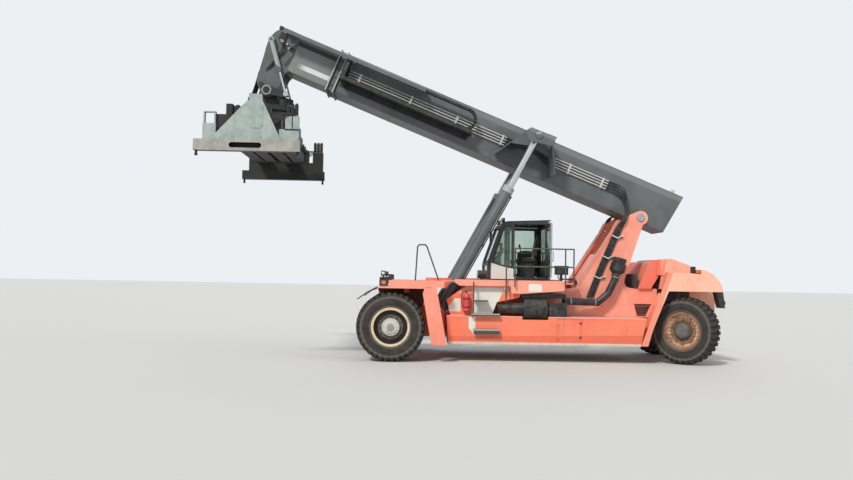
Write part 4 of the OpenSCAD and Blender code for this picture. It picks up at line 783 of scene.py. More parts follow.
boom_grey = dress(coat("boom_grey", srgb(80, 86, 87), srgb(101, 106, 106), outer_zones,
                       chip_colour=srgb(120, 96, 80)), "outer_boom")
# Painted light: the inner boom's grey is lighter than the outer boom's paint, to brighten its side
# face as in stronger sun
dress(coat("inner_boom_grey", srgb(112, 116, 116), srgb(130, 133, 131), inner_zones,
           chip_colour=srgb(150, 150, 146)), "inner_boom")
dress(coat("head_grey", srgb(78, 84, 85), srgb(100, 104, 104), head_zones, grime=0.7,
           chip_colour=srgb(130, 110, 92)), "boom_head")
dress(coat("pipe_pale", srgb(186, 186, 180), srgb(204, 203, 196), grime=0.8, chips=0.2),
      "boom_pipes")

# Weld beads, doubler plates, access covers and bolts on the outer boom
bm = bmesh.new()
for hand in (-1, 1):
    y = hand * BOOM_HALF
    for t in (BOOM_LOW + 0.012, BOOM_TOP - 0.012):
        hose(bm, [(s, y + hand * 0.001, t) for s in (-0.7, 2.0, 5.0, 8.3)], 0.006, 6, 0, along)
    block(bm, (5.2, y, -0.02), (8.30, y + hand * 0.008, 0.16), BOOM)
    block(bm, (0.45, y, 0.0), (1.0, y + hand * 0.008, 0.30), BOOM)
    for s, t in ((0.55, 0.06), (0.55, 0.24), (0.9, 0.06), (0.9, 0.24)):
        stud(bm, along(s, y, t), (0, hand * 0.016, 0), 0.014, 12)
for s in (1.2, 3.9, 6.2):
    block(bm, (s, -0.30, BOOM_TOP), (s + 0.5, 0.30, BOOM_TOP + 0.008), BOOM)
finish("boom_doublers", bm, "boom", boom_grey, 35)
bm = bmesh.new()
for hand in (-1, 1):
    for back in (0.15, 0.11, 0.07):
        for t in (0.08, 0.30, 0.52, 0.74, 0.90):
            stud(bm, along(COLLAR - back, hand * BOOM_HALF, t), (0, hand * 0.022, 0), 0.012, 8)
for s in (COLLAR - 0.15, COLLAR - 0.09):
    for y in (-0.35, -0.12, 0.12, 0.35):
        for t, out in ((BOOM_TOP, 0.024), (BOOM_LOW, -0.024)):
            round_bar(bm, along(s, y, t), along(s, y, t + out), 0.013, 8)
finish("collar_pad_screws", bm, "boom", black_paint, 30)

# ---------------------------------------------------------------- pins
# Turned steel pins with keeper plates and two screws each, at every hinge of the boom.
def polished(name, dark, bright, scale, detail, metallic, spread, rough):
    """Bare metal under a thin film of oil."""
    material, where = new_material(name)
    film = clouds(where, scale, detail)
    return surface(material, Base_Color=lay(dark, film, bright), Metallic=metallic,
                   Roughness=film * spread + rough)


def pin_end(bm, centre, hand, radius, plate_turn=0.6):
    """A pin's face with its grease nipple and the keeper plate across it."""
    out = Vector((0, hand, 0))
    stud(bm, centre, out * 0.014, radius * 0.92, 28, radius * 0.86)
    stud(bm, centre + out * 0.014, out * 0.016, radius * 0.14, 8)
    u = Vector((cos(plate_turn), 0, sin(plate_turn)))
    v = Vector((-sin(plate_turn), 0, cos(plate_turn)))
    mid = centre + v * radius * 0.72 + out * 0.008
    loft(bm, [[mid + u * a * radius * 0.9 + v * b * radius * 0.3 + out * d for a, b in SQUARE]
              for d in (0.006, 0.018)])
    for a in (-0.6, 0.6):
        stud(bm, mid + u * a * radius + out * 0.018, out * 0.012, radius * 0.13, 6)


bright_steel = polished("bright_steel", srgb(176, 178, 180), srgb(206, 207, 208), 8.0, 6.0,
                        0.9, 0.22, 0.16)
bm = bmesh.new()
for hand in (-1, 1):
    pin_end(bm, along(0, hand * 0.89, 0), hand, 0.095)
finish("foot_pin_ends", bm, "boom", bright_steel, 35)

# ---------------------------------------------------------------- hose chain
# The hoses to the inner boom lie in a black plastic energy chain: side links on studs, one
# run in an open tray, a half turn, and the upper run under a pale sliding carrier.
CHAIN_Y, TRAY_T, TURN_S, TURN_R, LINK_H, LINK_PITCH = -0.76, 0.30, 4.97, 0.28, 0.07, 0.1
CHAIN_END, RUN_LINKS, TURN_LINKS = 8.17, 31, 8
chain_black = soft_black("chain_plastic", srgb(34, 35, 37), 0.5, 90.0, 0.25)


def chain_link(bm, place):
    """A link about its middle: two waisted side plates on studs, and two cross bars."""
    outline = rounded([(-0.052, -0.022), (-0.03, -0.034), (0.03, -0.034), (0.052, -0.022),
                       (0.052, 0.022), (0.03, 0.034), (-0.03, 0.034), (-0.052, 0.022)], 0.012, 3)
    waist = [(x * 0.72, z * 0.80) for x, z in outline]
    for hand in (-1, 1):
        slab(bm, outline, hand * 0.062, hand * 0.069, place)
        slab(bm, waist, hand * 0.069, hand * 0.073, place)
        for x, y0, y1, radius, sides in ((-0.05, 0.060, 0.0795, 0.017, 12),
                                         (0.05, 0.060, 0.0795, 0.017, 12),
                                         (0, 0.073, 0.078, 0.011, 10)):
            round_bar(bm, place @ Vector((x, hand * y0, 0)), place @ Vector((x, hand * y1, 0)),
                      radius, sides)
    for z in (-0.031, 0.031):
        block(bm, (-0.014, -0.066, z - 0.003), (0.014, 0.066, z + 0.003), place)


bm = bmesh.new()
for t in (TRAY_T + LINK_H / 2, TRAY_T + 2 * TURN_R - LINK_H / 2):
    one = bmesh.new()
    chain_link(one, BOOM @ Matrix.Translation((TURN_S + LINK_PITCH / 2, CHAIN_Y, t)))
    stride = tuple(BOOM.to_3x3() @ Vector((LINK_PITCH, 0, 0)))
    add_mesh(bm, worked(one, row_tree, chain_black, Count=RUN_LINKS, First=(0, 0, 0), Step=stride))
for i in range(TURN_LINKS):
    turned = Matrix.Rotation(pi * (i + 0.5) / TURN_LINKS, 4, "Y")
    chain_link(bm, BOOM @ Matrix.Translation((TURN_S, CHAIN_Y, TRAY_T + TURN_R)) @ turned
               @ Matrix.Translation((0, 0, LINK_H / 2 - TURN_R)))
for y, radius, shift in ((-0.045, 0.014, -0.004), (-0.012, 0.017, 0.004), (0.024, 0.014, -0.004),
                         (0.050, 0.009, 0.004)):
    r = TURN_R - LINK_H / 2 + shift
    bend = [(TURN_S - r * sin(pi * i / 24), -r * cos(pi * i / 24)) for i in range(25)]
    hose(bm, [(s, CHAIN_Y + y, TRAY_T + TURN_R + t)
              for s, t in ((CHAIN_END, -r), *bend, (CHAIN_END, r))], radius, 8, 0, along)
# Open tray under the lower run with its lips and gussets, and the end block with its hose ends
TRAY_START, TRAY_END, TRAY_LOW = TURN_S - 0.29, CHAIN_END + 0.10, TRAY_T - 0.030
block(bm, (TRAY_START, -0.90, TRAY_LOW), (TRAY_END, -0.50, TRAY_T - 0.001), BOOM)
block(bm, (TRAY_START, -0.90, TRAY_T - 0.001), (TRAY_END, -0.888, TRAY_T + 0.05), BOOM)
for s in (4.80 + 0.66 * i for i in range(6)):
    loft(bm, [[along(s + d, y, t) for y, t in ((-0.50, TRAY_LOW), (-0.88, TRAY_LOW),
                                               (-0.50, TRAY_T - 0.17))] for d in (0, 0.012)])
block(bm, (CHAIN_END, -0.835, TRAY_T), (CHAIN_END + 0.09, -0.50, TRAY_T + 2 * TURN_R), BOOM)
for y in (-0.79, -0.72, -0.65):
    for t in (0.36, 0.81):
        round_bar(bm, along(CHAIN_END + 0.088, y, t), along(CHAIN_END + 0.125, y, t), 0.022, 6)
item = finish("hose_chain", bm, "boom", chain_black, 35)
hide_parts("energy_chain")

# ---------------------------------------------------------------- boom pipes and hoses
# Four steel pipes in pale clamps along each side, with hoses at their ends that loop to the
# foot pin, to the hose chain and over the lifting ears.
PIPE_Y, PIPE_T, PIPE_PITCH = 0.545, 0.385, 0.07
bm = bmesh.new()
for hand in (-1, 1):
    for i in range(4):
        y, t = hand * PIPE_Y, PIPE_T + PIPE_PITCH * i
        for s, way in ((1.0, -1), (2.55, 1), (3.80, -1), (8.15, 1)):
            round_bar(bm, along(s - way * 0.03, y, t), along(s + way * 0.05, y, t), 0.021, 6)
        hose(bm, [(1.0, y, t), (0.82, y, t), (0.6, hand * (0.56 + 0.02 * i), t - 0.05),
                  (0.42, hand * (0.57 + 0.03 * i), 0.16 + 0.03 * i),
                  (0.33, hand * (0.57 + 0.035 * i), -0.02)], 0.017, place=along)
        hose(bm, [(2.55, y, t), (2.72, y, t), (3.0, hand * 0.53, 0.50 + 0.045 * i),
                  (3.4, hand * 0.53, 0.49 + 0.045 * i), (3.62, y, t), (3.80, y, t)],
             0.017, place=along)
        if hand < 0:
            end = [(8.235, y - 0.03, t - 0.01), (8.235, y - 0.10, 0.40 + 0.03 * i),
                   (8.26, -0.62 - 0.05 * i, 0.37)]
        else:
            end = [(8.225, y, t - 0.03), (8.23, y, t - 0.12)]
        hose(bm, [(8.15, y, t), (8.20, y, t), *end], 0.015, place=along)
finish("boom_hoses", bm, "boom", black_rubber, 40)
bm = bmesh.new()
for hand in (-1, 1):
    for s in (1.15, 2.05, 3.90, 5.15, 6.40, 7.80):
        for t in (PIPE_T - 0.012, PIPE_T + 0.105, PIPE_T + 0.222):
            stud(bm, along(s + 0.025, hand * 0.57, t), (0, hand * 0.012, 0), 0.011, 6)
finish("pipe_clamp_bolts", bm, "boom", bright_steel, 30)

# ---------------------------------------------------------------- lifting cylinders
# Two long grey cylinders with a paler gland, a feed pipe up the barrel, chrome rods wiped clean
# where they run, and pins in the ears.
LIFT_FOOT, LIFT_SIDE, LIFT_BARREL = at(1.16, 0, 1.15), 1.15, 3.49
LIFT_EYE = (3.165, 0.814)
lift_way = (along(LIFT_EYE[0], 0, LIFT_EYE[1]) - LIFT_FOOT).normalized()
lift_across = Vector((lift_way.z, 0, -lift_way.x))


def lift_zones(x, y, z, patchy, colour):
    """The last stretch of the barrel is the paler gland; the foot is dirtier."""
    x, z = x - LIFT_FOOT.x, z - LIFT_FOOT.z
    reach, aside = x * lift_way.x + z * lift_way.z, x * lift_way.z - z * lift_way.x
    colour = lay(colour, step(aside, 0.131, 0.134), srgb(26, 27, 28))
    gland = step(reach, LIFT_BARREL - 0.142, LIFT_BARREL - 0.139)
    colour = lay(colour, gland, srgb(168, 170, 168))
    return lay(colour, ~step(reach, 0.1, 0.9) * step(patchy, 0.3, 0.6) * 0.5, srgb(64, 58, 52))


def on_lift(hand, reach, across=0.0, inward=0.0):
    """A point by a lifting cylinder: along it from its foot, behind it and inboard of it."""
    return (LIFT_FOOT + lift_way * reach + lift_across * across
            + Vector((0, hand * (LIFT_SIDE - inward), 0)))


barrel_grey = dress(coat("barrel_grey", srgb(78, 86, 87), srgb(100, 106, 106), lift_zones,
                         gloss=0.32, chips=0.3, chip_colour=srgb(80, 74, 68)),
                    "lift_barrels", "damper_barrels")
dress(polished("chrome_rod", srgb(196, 198, 200), srgb(228, 229, 230), 3.0, 7.0, 1.0, 0.16, 0.06),
      "lift_rods", "damper_rods")
bm = bmesh.new()
for hand in (-1, 1):
    for reach, thick, radius in ((0.42, 0.05, 0.134), (1.92, 0.05, 0.134), (3.352, 0.02, 0.146),
                                 (3.44, 0.03, 0.146)):
        stud(bm, on_lift(hand, reach), lift_way * thick, radius, 40)
    stud(bm, on_lift(hand, 3.489), lift_way * 0.023, 0.118, 36, 0.106)
    for a in (2 * pi * k / 12 for k in range(12)):
        out = lift_across * cos(a) + Vector((0, sin(a), 0))
        stud(bm, on_lift(hand, 3.489) + out * 0.127, lift_way * 0.014, 0.010, 6)
    hose(bm, [(hand, 0.30, 0.152), (hand, 0.20, 0.150), (hand, 0.14, 0.132)], 0.017, place=on_lift)
finish("barrel_bands", bm, "lift_barrels", barrel_grey, 35)
bm = bmesh.new()
for hand in (-1, 1):
    pin_end(bm, along(LIFT_EYE[0], hand * 1.345, LIFT_EYE[1]), hand, 0.075, 0.2)
finish("lift_pin_caps", bm, "boom", bright_steel, 35)

# ---------------------------------------------------------------- boom head
# The inner boom's head carries the hub of the tilt pin, the dampers' shaft, a hose bracket over
# the nose with two lamps, and hoses that drop along its front edge to the yoke.
TILT = along(9.875, 0, -0.678)


def by_tilt(x, y, z):
    """A point x metres behind the tilt pin."""
    return Vector((TILT.x + x, y, z))


hub_pale = soft_black("hub_plate_grey", srgb(164, 168, 164), 0.6, 40.0, 0.5)
bm = bmesh.new()
for hand in (-1, 1):
    y = hand * 0.515
    corners = circle(6, 1, radians(12))
    slab(bm, rounded([(TILT.x + 0.135 * p.x, TILT.z + 0.135 * p.z) for p in corners], 0.02),
         y, y + hand * 0.014)
    for p in corners:
        stud(bm, by_tilt(0.112 * p.x, y + hand * 0.014, TILT.z + 0.112 * p.z),
             (0, hand * 0.012, 0), 0.014, 6)
finish("tilt_hub_plates", bm, "inner_boom", hub_pale, 30, 0.001)
bm = bmesh.new()
for hand in (-1, 1):
    for a in (radians(20), radians(110)):
        u, v = Vector((cos(a), 0, sin(a))) * 0.075, Vector((-sin(a), 0, cos(a))) * 0.009
        loft(bm, [[by_tilt(0, hand * 0.529 + d, TILT.z) + u * p + v * q for p, q in SQUARE]
                  for d in (0, hand * 0.006)])
    for s, t, out, radius in ((10.07, -0.58, 0.042, 0.055), (9.70, 0.52, 0.022, 0.05)):
        stud(bm, along(s, hand * 0.448, t), (0, hand * out, 0), radius, 20)
# Hoses along the front edge, and the lamps' housings on the bracket
for y in (-0.14 + 0.07 * i for i in range(5)):
    hose(bm, [(s, y, t) for s, t in (
        (9.55, 0.985), (9.9, 1.0), (10.16, 0.975), (10.31, 0.86), (10.385, 0.64), (10.37, 0.30),
        (10.33, -0.05), (10.30, -0.30))], 0.019, place=along)
NOSE_LAMP_Y = 0.215
for y in (-NOSE_LAMP_Y, NOSE_LAMP_Y):
    block(bm, (10.16, y - 0.045, 0.93), (10.26, y + 0.045, 1.02), BOOM)
finish("head_fittings", bm, "inner_boom", black_rubber, 35)


def lens(name, colour):
    """Ribbed lamp glass."""
    material, where = new_material(name)
    ribs = where.beside("ShaderNodeTexWave", 1, bands_direction="Z", Vector=where, Scale=28.0)
    darker = tuple(c * 0.7 for c in colour[:3]) + (1,)
    return surface(material, (ribs, 0.4, 0.003), Roughness=0.16, Coat_Weight=0.5,
                   Base_Color=lay(colour, clouds(where, 30.0), darker))


def pad(half_width, half_height, corner):
    """The outline of a plate with rounded corners."""
    return rounded([(a * half_width, b * half_height) for a, b in SQUARE], corner)


white_lens = lens("white_lens", srgb(226, 228, 222))
amber_lens = lens("amber_lens", srgb(232, 128, 34))
red_lens = lens("red_lens", srgb(168, 26, 22))
for name, y, material in (("nose_lamp", -NOSE_LAMP_Y, white_lens),
                          ("nose_marker", NOSE_LAMP_Y, amber_lens)):
    bm = bmesh.new()
    loft(bm, [[along(s, y + a, 0.975 + b) for a, b in pad(0.038, 0.035, 0.012)]
              for s in (10.258, 10.272)])
    finish(name, bm, "inner_boom", material, 35)

# ---------------------------------------------------------------- cab
# A steel cab in dark grey with a white lower corner, a beige strip down the rear pillar, black
# lining and green tinted panes in rubber. Its left door stands open.
CAB_SIDE, MIRROR_Y, MIRROR_Z = 0.80, -0.885, 2.98


def cab_zones(x, y, z, patchy, colour):
    """White lower corner, beige pillar strip and black lining."""
    x, side = x + FRONT_AXLE_TO_ORIGIN, abs(y)
    white = step(x * -0.25 + 2.98 - z, -0.002, 0.002) * ~step(x, 3.018, 3.020)
    colour = lay(colour, white * step(x, 2.44, 2.442), srgb(222, 222, 214))
    pillar = step(x, 3.865, 3.868) * step(side, 0.79, 0.795)
    colour = lay(colour, pillar, srgb(196, 182, 154))
    lining = ~step(side, 0.786, 0.79) * step(x, 2.40, 2.41) * ~step(x, 3.895, 3.90)
    lining = lining * ~step(z - (x * 0.055 + 3.200), -0.012, -0.008)
    return lay(colour, lining, srgb(30, 31, 32))


cab_dark, cab_worn = srgb(44, 47, 48), srgb(62, 64, 64)
dress(coat("cab_grey", cab_dark, cab_worn, cab_zones, 0.2, 0.3, chip_colour=srgb(120, 116, 110)),
      "cab_shell")
dress(coat("door_grey", cab_dark, cab_worn, None, 0.3, 0.3, chip_colour=srgb(150, 150, 146)),
      "left_door", "right_door")
cab_glass, where = new_material("green_tinted_glass")
dirt = clouds(where, 3.5, 8.0, 0.68)
surface(cab_glass, Base_Color=lay(srgb(206, 226, 214), dirt, srgb(178, 202, 190)),
        Transmission_Weight=0.92, IOR=1.45, Roughness=step(dirt, 0.5, 0.9) * 0.22)
dress(cab_glass, "cab_glass", "left_door_glass", "right_door_glass")


def strip_round(bm, points, width, depth, lift, place, corner=0.05):
    """A flat strip round a closed outline in X and Z, standing out by lift in Y."""
    pts = [Vector(p) for p in rounded(points, corner)]
    middle = sum(pts, Vector((0, 0))) / len(pts)
    inner, outer = [], []
    for i, p in enumerate(pts):
        ahead = (pts[(i + 1) % len(pts)] - pts[i - 1]).normalized()
        out = Vector((ahead.y, -ahead.x))
        if out.dot(p - middle) < 0:
            out = -out
        inner.append(p - out * width / 2)
        outer.append(p + out * width / 2)
    loft(bm, [[place @ Vector((q.x, y, q.y)) for q in line] for line, y in (
        (inner, lift), (inner, lift + depth), (outer, lift + depth), (outer, lift))], closed=True)


def oblong(x0, x1, z0, z1):
    return [(x0, z0), (x0, z1), (x1, z1), (x1, z0)]


SIDE_WINDOW = [(2.49, 2.415), (2.76, 3.27), (2.96, 3.28), (2.96, 2.305), (2.89, 2.265),
               (2.56, 2.355)]
bm = bmesh.new()
for hand in (-1, 1):
    place = TO_ROW @ Matrix.Diagonal((1, hand, 1, 1))
    strip_round(bm, SIDE_WINDOW, 0.032, 0.012, CAB_SIDE - 0.004, place)
    # The door's outer seal passes outside its hinges
    strip_round(bm, oblong(3.010, 3.853, 2.025, 3.354), 0.014, 0.008, CAB_SIDE - 0.003, place,
                0.012)
# Windscreen rubber, in the slanted plane of the cab's front
front_foot = at(2.36, 0, 2.36)
up_glass = (at(2.705, 0, 3.37) - front_foot).normalized()
out_glass = Vector((-up_glass.z, 0, up_glass.x))


def on_glass(y, up, lift):
    return front_foot + up_glass * up + Vector((0, y, 0)) + out_glass * lift


for y0, y1, d0, d1 in ((-0.71, 0.71, 0.055, 0.075), (-0.71, 0.71, 0.955, 0.975),
                       (-0.71, -0.69, 0.055, 0.975), (0.69, 0.71, 0.055, 0.975)):
    loft(bm, [[on_glass(y, d, n) for y, d in ((y0, d0), (y1, d0), (y1, d1), (y0, d1))]
              for n in (-0.01, 0.012)])
# Wiper with its arm and motor cap
round_bar(bm, on_glass(-0.05, 0.02, 0.0), on_glass(-0.05, 0.02, 0.05), 0.022, 12)
hose(bm, [(-0.05, 0.02, 0.045), (-0.09, 0.25, 0.05), (-0.14, 0.52, 0.04)], 0.007, 6, 3, on_glass)
hose(bm, [(-0.32, 0.60, 0.024), (-0.14, 0.52, 0.030), (0.06, 0.45, 0.024)], 0.009, 6, 3, on_glass)
# Roof gutter, hand bars and the mirror on its arm
for hand in (-1, 1):
    hose(bm, [(x, hand * 0.795, z) for x, z in ((2.73, 3.372), (2.84, 3.402), (3.915, 3.452))],
         0.012, 6, 0, at)
    hose(bm, [(3.90, hand * 0.80, 2.25), (3.93, hand * 0.85, 2.28), (3.93, hand * 0.85, 2.95),
              (3.90, hand * 0.80, 2.98)], 0.012, 8, 4, at)
hose(bm, [(2.66, -0.72, 3.18), (2.50, -0.84, 3.20), (2.44, -0.88, 3.12)], 0.011, 8, 4, at)


def face_plate(bm, x0, x1, y, z, half_width, half_height, corner):
    """A rounded plate across the machine, from x0 to x1."""
    loft(bm, [[at(x, y + b, z + c) for b, c in pad(half_width, half_height, corner)]
              for x in (x0, x1)])


face_plate(bm, 2.395, 2.44, MIRROR_Y, MIRROR_Z, 0.09, 0.17, 0.04)
finish("cab_rubber_and_trim", bm, "cab", black_rubber, 35, 0.001)
mirror_face, where = new_material("mirror_glass")
surface(mirror_face, Metallic=1.0, Roughness=clouds(where, 9.0) * 0.12 + 0.03,
        Base_Color=srgb(205, 210, 212))
bm = bmesh.new()
face_plate(bm, 2.442, 2.445, MIRROR_Y, MIRROR_Z, 0.08, 0.16, 0.035)
finish("mirror_glass_plate", bm, "cab", mirror_face, 35)
ROOF_LAMPS = (-0.62, -0.42, 0.42, 0.62)
bm = bmesh.new()
for y in ROOF_LAMPS:
    block(bm, at(2.72, y - 0.06, 3.40), at(2.79, y + 0.06, 3.50))
finish("cab_lamp_housings", bm, "cab", black_plastic, 35, 0.006)
bm = bmesh.new()
for y in ROOF_LAMPS:
    face_plate(bm, 2.716, 2.711, y, 3.45, 0.05, 0.04, 0.012)
finish("cab_lamp_lenses", bm, "cab", white_lens, 35)

# The doors' seals, handles and silver edge strips, drawn closed; the left one is then swung
silver = soft_black("worn_aluminium", srgb(176, 180, 182), 0.42, 90.0, 0.25, 0.001, 0.7)
hinge = Matrix.Translation((3.842, 0.826, 0))
for side, hand in SIDES:
    swing = Matrix.Rotation(-radians(90 if hand < 0 else 0), 4, "Z")
    place = TO_ROW @ Matrix.Diagonal((1, hand, 1, 1)) @ hinge @ swing @ hinge.inverted()
    bm = bmesh.new()
    for outline, width, depth, lift in (
            (oblong(3.086, 3.754, 2.461, 3.274), 0.022, 0.007, 0.7995),
            (oblong(3.086, 3.754, 2.111, 2.401), 0.022, 0.007, 0.7995),
            (oblong(3.046, 3.794, 2.061, 3.314), 0.016, -0.006, 0.7555)):
        strip_round(bm, outline, width, depth, lift, place)
    block(bm, (3.05, 0.735, 2.46), (3.09, 0.756, 2.52), place)
    hose(bm, [place @ Vector(p) for p in (
        (3.11, 0.756, 2.44), (3.11, 0.715, 2.46), (3.40, 0.705, 2.47), (3.69, 0.715, 2.46),
        (3.69, 0.756, 2.44))], 0.011, 8, 4)
    finish(f"{side}_door_rubber", bm, f"{side}_door", black_rubber, 35)
    bm = bmesh.new()
    block(bm, (3.0255, 0.757, 2.05), (3.0262, 0.798, 3.33), place)
    block(bm, (3.0263, 0.800, 2.05), (3.041, 0.802, 3.33), place)
    finish(f"{side}_door_edge", bm, f"{side}_door", silver, 35)

# Seat: three padded cushions of black cloth on the suspension base, with sewn channels
seat_cloth, where = new_material("seat_cloth")
weave = calc("MULTIPLY", *(
    where.beside("ShaderNodeTexWave", 1, bands_direction=way, Vector=where, Scale=260.0)
    for way in ("Y", "DIAGONAL")))
surface(seat_cloth, (weave, 0.4, 0.002), Roughness=0.9, Sheen_Weight=0.4,
        Base_Color=lay(srgb(34, 34, 36), clouds(where, 6.0, 6.0), srgb(64, 62, 60)))
CUBE_POWER, SEAM_WIDTH = 7.0, 0.009


def cushion(name, place, length, width, depth, channels):
    """A crowned closed pad whose sides pull in between its corners, with channels sewn across."""
    bm = bmesh.new()
    bmesh.ops.create_cube(bm, size=2)
    bmesh.ops.subdivide_edges(bm, edges=bm.edges, cuts=23, use_grid_fill=True)
    for v in bm.verts:
        norm = sum(abs(c) ** CUBE_POWER for c in v.co) ** (1 / CUBE_POWER)
        x, y, z = (c / norm for c in v.co)
        pull = 1 - 0.045 * (1 - z * z)
        px = x * length / 2 * (1 - 0.025 * (1 - y * y)) * pull
        py = y * width / 2 * (1 - 0.03 * (1 - x * x)) * pull
        pz = z * depth / 2 * (0.80 + 0.20 * (1 - x * x) * (1 - y * y))
        if z > 0:
            for c in channels:
                seam = exp(-((px - c * length / 2) / SEAM_WIDTH) ** 2)
                pz -= 0.010 * seam * min(1.0, 3.2 * (1 - abs(y)))
            pz -= 0.008 * exp(-((abs(y) - 0.62) * width / 2 / 0.010) ** 2)
        v.co = (px, py, pz)
    bmesh.ops.transform(bm, matrix=place, verts=bm.verts)
    item = finish(name, bm, "cab", seat_cloth, 60)
    return item


def tilted(x, z, degrees):
    return Matrix.Translation(at(x, 0, z)) @ Matrix.Rotation(radians(-degrees), 4, "Y")


base = cushion("seat_cushion", tilted(3.405, 2.472, 3), 0.49, 0.50, 0.115, (-0.45, 0.05, 0.5))
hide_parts("seat")
cushion("seat_back_cushion", tilted(3.655, 2.775, 79), 0.50, 0.47, 0.105, (-0.4, 0.0, 0.4))
cushion("seat_head_cushion", tilted(3.715, 3.055, 80), 0.13, 0.28, 0.085, ())
# Screen, lever, buttons and arm rest on the console
screen, where = new_material("dark_screen")
surface(screen, Base_Color=lay(srgb(18, 24, 28), clouds(where, 40.0), srgb(34, 44, 50)),
        Roughness=0.12)
bm = bmesh.new()
block(bm, at(2.762, -0.405, 2.665), at(2.765, -0.195, 2.875))
finish("monitor_screen", bm, "cab", screen, 0)
bm = bmesh.new()
round_bar(bm, at(3.33, 0.33, 2.65), at(3.30, 0.33, 2.80), 0.014, 10)
round_bar(bm, at(3.30, 0.33, 2.79), at(3.285, 0.33, 2.88), 0.030, 16, 0.024)
for i in range(6):
    round_bar(bm, at(3.40 + 0.03 * i, 0.30, 2.649), at(3.40 + 0.03 * i, 0.30, 2.66), 0.009, 10)
hose(bm, [(3.24, -0.22, 2.40), (3.22, -0.25, 2.62), (3.30, -0.27, 2.68), (3.52, -0.27, 2.68)],
     0.022, 8, 5, at)
block(bm, at(3.16, -0.19, 2.395), at(3.66, 0.19, 2.412))
finish("cab_controls", bm, "cab", black_plastic, 35, 0.002)

# ---------------------------------------------------------------- deck and body fittings
# What hangs about the deck: the extinguisher in its bracket, grip studs on the steps, fins of
# the cooler, pale hose clamps, lamp glasses, the junction box's lid and loops of hose.
extinguisher_red = coat("extinguisher_red", srgb(206, 58, 60), srgb(222, 88, 88), None, 0.2, 0.3,
                        0.28)
bottle = at(1.79, -1.585, 1.19)


def by_bottle(x, y, z):
    return bottle + Vector((x, y, z))


bm = bmesh.new()
profile = ((0, 0.076), (0.012, 0.084), (0.36, 0.084), (0.40, 0.070), (0.425, 0.034), (0.44, 0.026))
for (z0, r0), (z1, r1) in zip(profile, profile[1:]):
    round_bar(bm, by_bottle(0, 0, z0), by_bottle(0, 0, z1), r0, 32, r1)
finish("extinguisher_bottle", bm, "chassis", extinguisher_red, 40)
bm = bmesh.new()
round_bar(bm, by_bottle(0, 0, 0.44), by_bottle(0, 0, 0.475), 0.022, 16)
block(bm, by_bottle(-0.014, -0.014, 0.473), by_bottle(0.014, 0.014, 0.492))
hose(bm, [(0, 0, 0.485), (0.06, 0, 0.500), (0.11, 0, 0.485)], 0.007, 6, 3, by_bottle)
hose(bm, [(-0.01, 0, 0.46), (-0.08, -0.01, 0.46), (-0.115, -0.01, 0.37), (-0.105, -0.01, 0.19),
          (-0.098, -0.01, 0.12)], 0.011, place=by_bottle)
for z in (0.10, 0.30):
    band = ((0.087, z - 0.016), (0.0895, z - 0.016), (0.0895, z + 0.016), (0.087, z + 0.016))
    loft(bm, [[by_bottle(r * p.x, r * p.z, h) for r, h in band] for p in circle(32, 1)],
         closed=True)
block(bm, by_bottle(-0.045, 0.088, 0.04), by_bottle(0.045, 0.0949, 0.36))
block(bm, by_bottle(-0.06, -0.07, -0.012), by_bottle(0.06, 0.0949, -0.001))
finish("extinguisher_bracket", bm, "chassis", black_paint, 35)

# Grip studs on the treads, fins in the cooling openings and along the cooler's edge
bm = bmesh.new()
for hand in (-1, 1):
    for x0, x1, z in ((1.97, 2.58, 0.785), (1.90, 2.58, 1.150), (1.98, 2.30, 1.460)):
        for y in (1.64, 1.675, 1.71):
            bolt_row(bm, int((x1 - x0) / 0.07), at(x0 + 0.04, hand * y, z), (0.07, 0, 0), (0, 0, 1),
                     0.007, black_paint)
fin = ((0.872, 0), (0.862, 0.016), (0.858, 0.012), (0.868, -0.004))
for hand in (-1, 1):
    for rise in (0.02 + 0.04 * k for k in range(7)):
        loft(bm, [[at(x, hand * y, 1.115 + rise + d) for y, d in fin]
                  for x in (6.085 - 0.25 * rise, 6.27 + 0.46 * rise)])
    for z in (1.83 + 0.04 * k for k in range(8)):
        block(bm, at(5.995, hand * 0.901, z), at(6.072, hand * 0.909, z + 0.015))
finish("studs_and_fins", bm, "chassis", black_paint, 30)

# Pale front edges of the two long steps: worn bright, and painted highlight where sun falls on the
# treads
step_edge = soft_black("worn_and_lit_step_edge", srgb(176, 172, 160), 0.5, 30.0, 0.4, 0.001)
bm = bmesh.new()
for hand in (-1, 1):
    for x, z, low in ((1.97, 0.785, 0.035), (1.90, 1.150, 0.028)):
        block(bm, at(x, hand * 1.7401, z - low), at(2.58, hand * 1.7425, z))
finish("step_edges", bm, "chassis", step_edge, 30)

# Pale clamps over the tower's hoses, and the hoses' last stretch to the boom's foot
white_clamp = soft_black("white_clamp", srgb(222, 220, 212), 0.55, 60.0, 0.3, 0.001)
bm = bmesh.new()
for hand in (-1, 1):
    for x, z in ((5.010, 2.060), (5.220, 2.560), (5.450, 3.070)):
        bends = [(x - 0.03, z + 0.035), (x + 0.105, z - 0.03), (x + 0.24, z + 0.035)]
        for ends in (bends[:2], bends[1:]):
            loft(bm, [[at(a, hand * y, c + d) for y, d in (
                (0.931, -0.014), (0.944, -0.014), (0.944, 0.014), (0.931, 0.014))]
                for a, c in ends])
        for a, c in bends:
            stud(bm, at(a, hand * 0.944, c), (0, hand * 0.010, 0), 0.012, 6)
finish("tower_hose_clamps", bm, "chassis", white_clamp, 30, 0.002)
bm = bmesh.new()
for hand in (-1, 1):
    for i in range(4):
        hose(bm, [at(5.475 + 0.05 * i, hand * 0.906, 3.17), at(5.52 + 0.05 * i, hand * 0.915, 3.29),
                  at(5.65 + 0.035 * i, hand * 0.95, 3.47),
                  at(5.74 + 0.03 * i, hand * 0.90, 3.62 + 0.01 * i),
                  at(5.79 + 0.02 * i, hand * (0.74 + 0.02 * i), 3.665 + 0.01 * i),
                  along(0.33, hand * (0.57 + 0.035 * i), -0.02)], 0.0175)
item = finish("shoulder_hoses", bm, None, black_rubber, 40)
tuple(at(5.60, 0, 3.45))
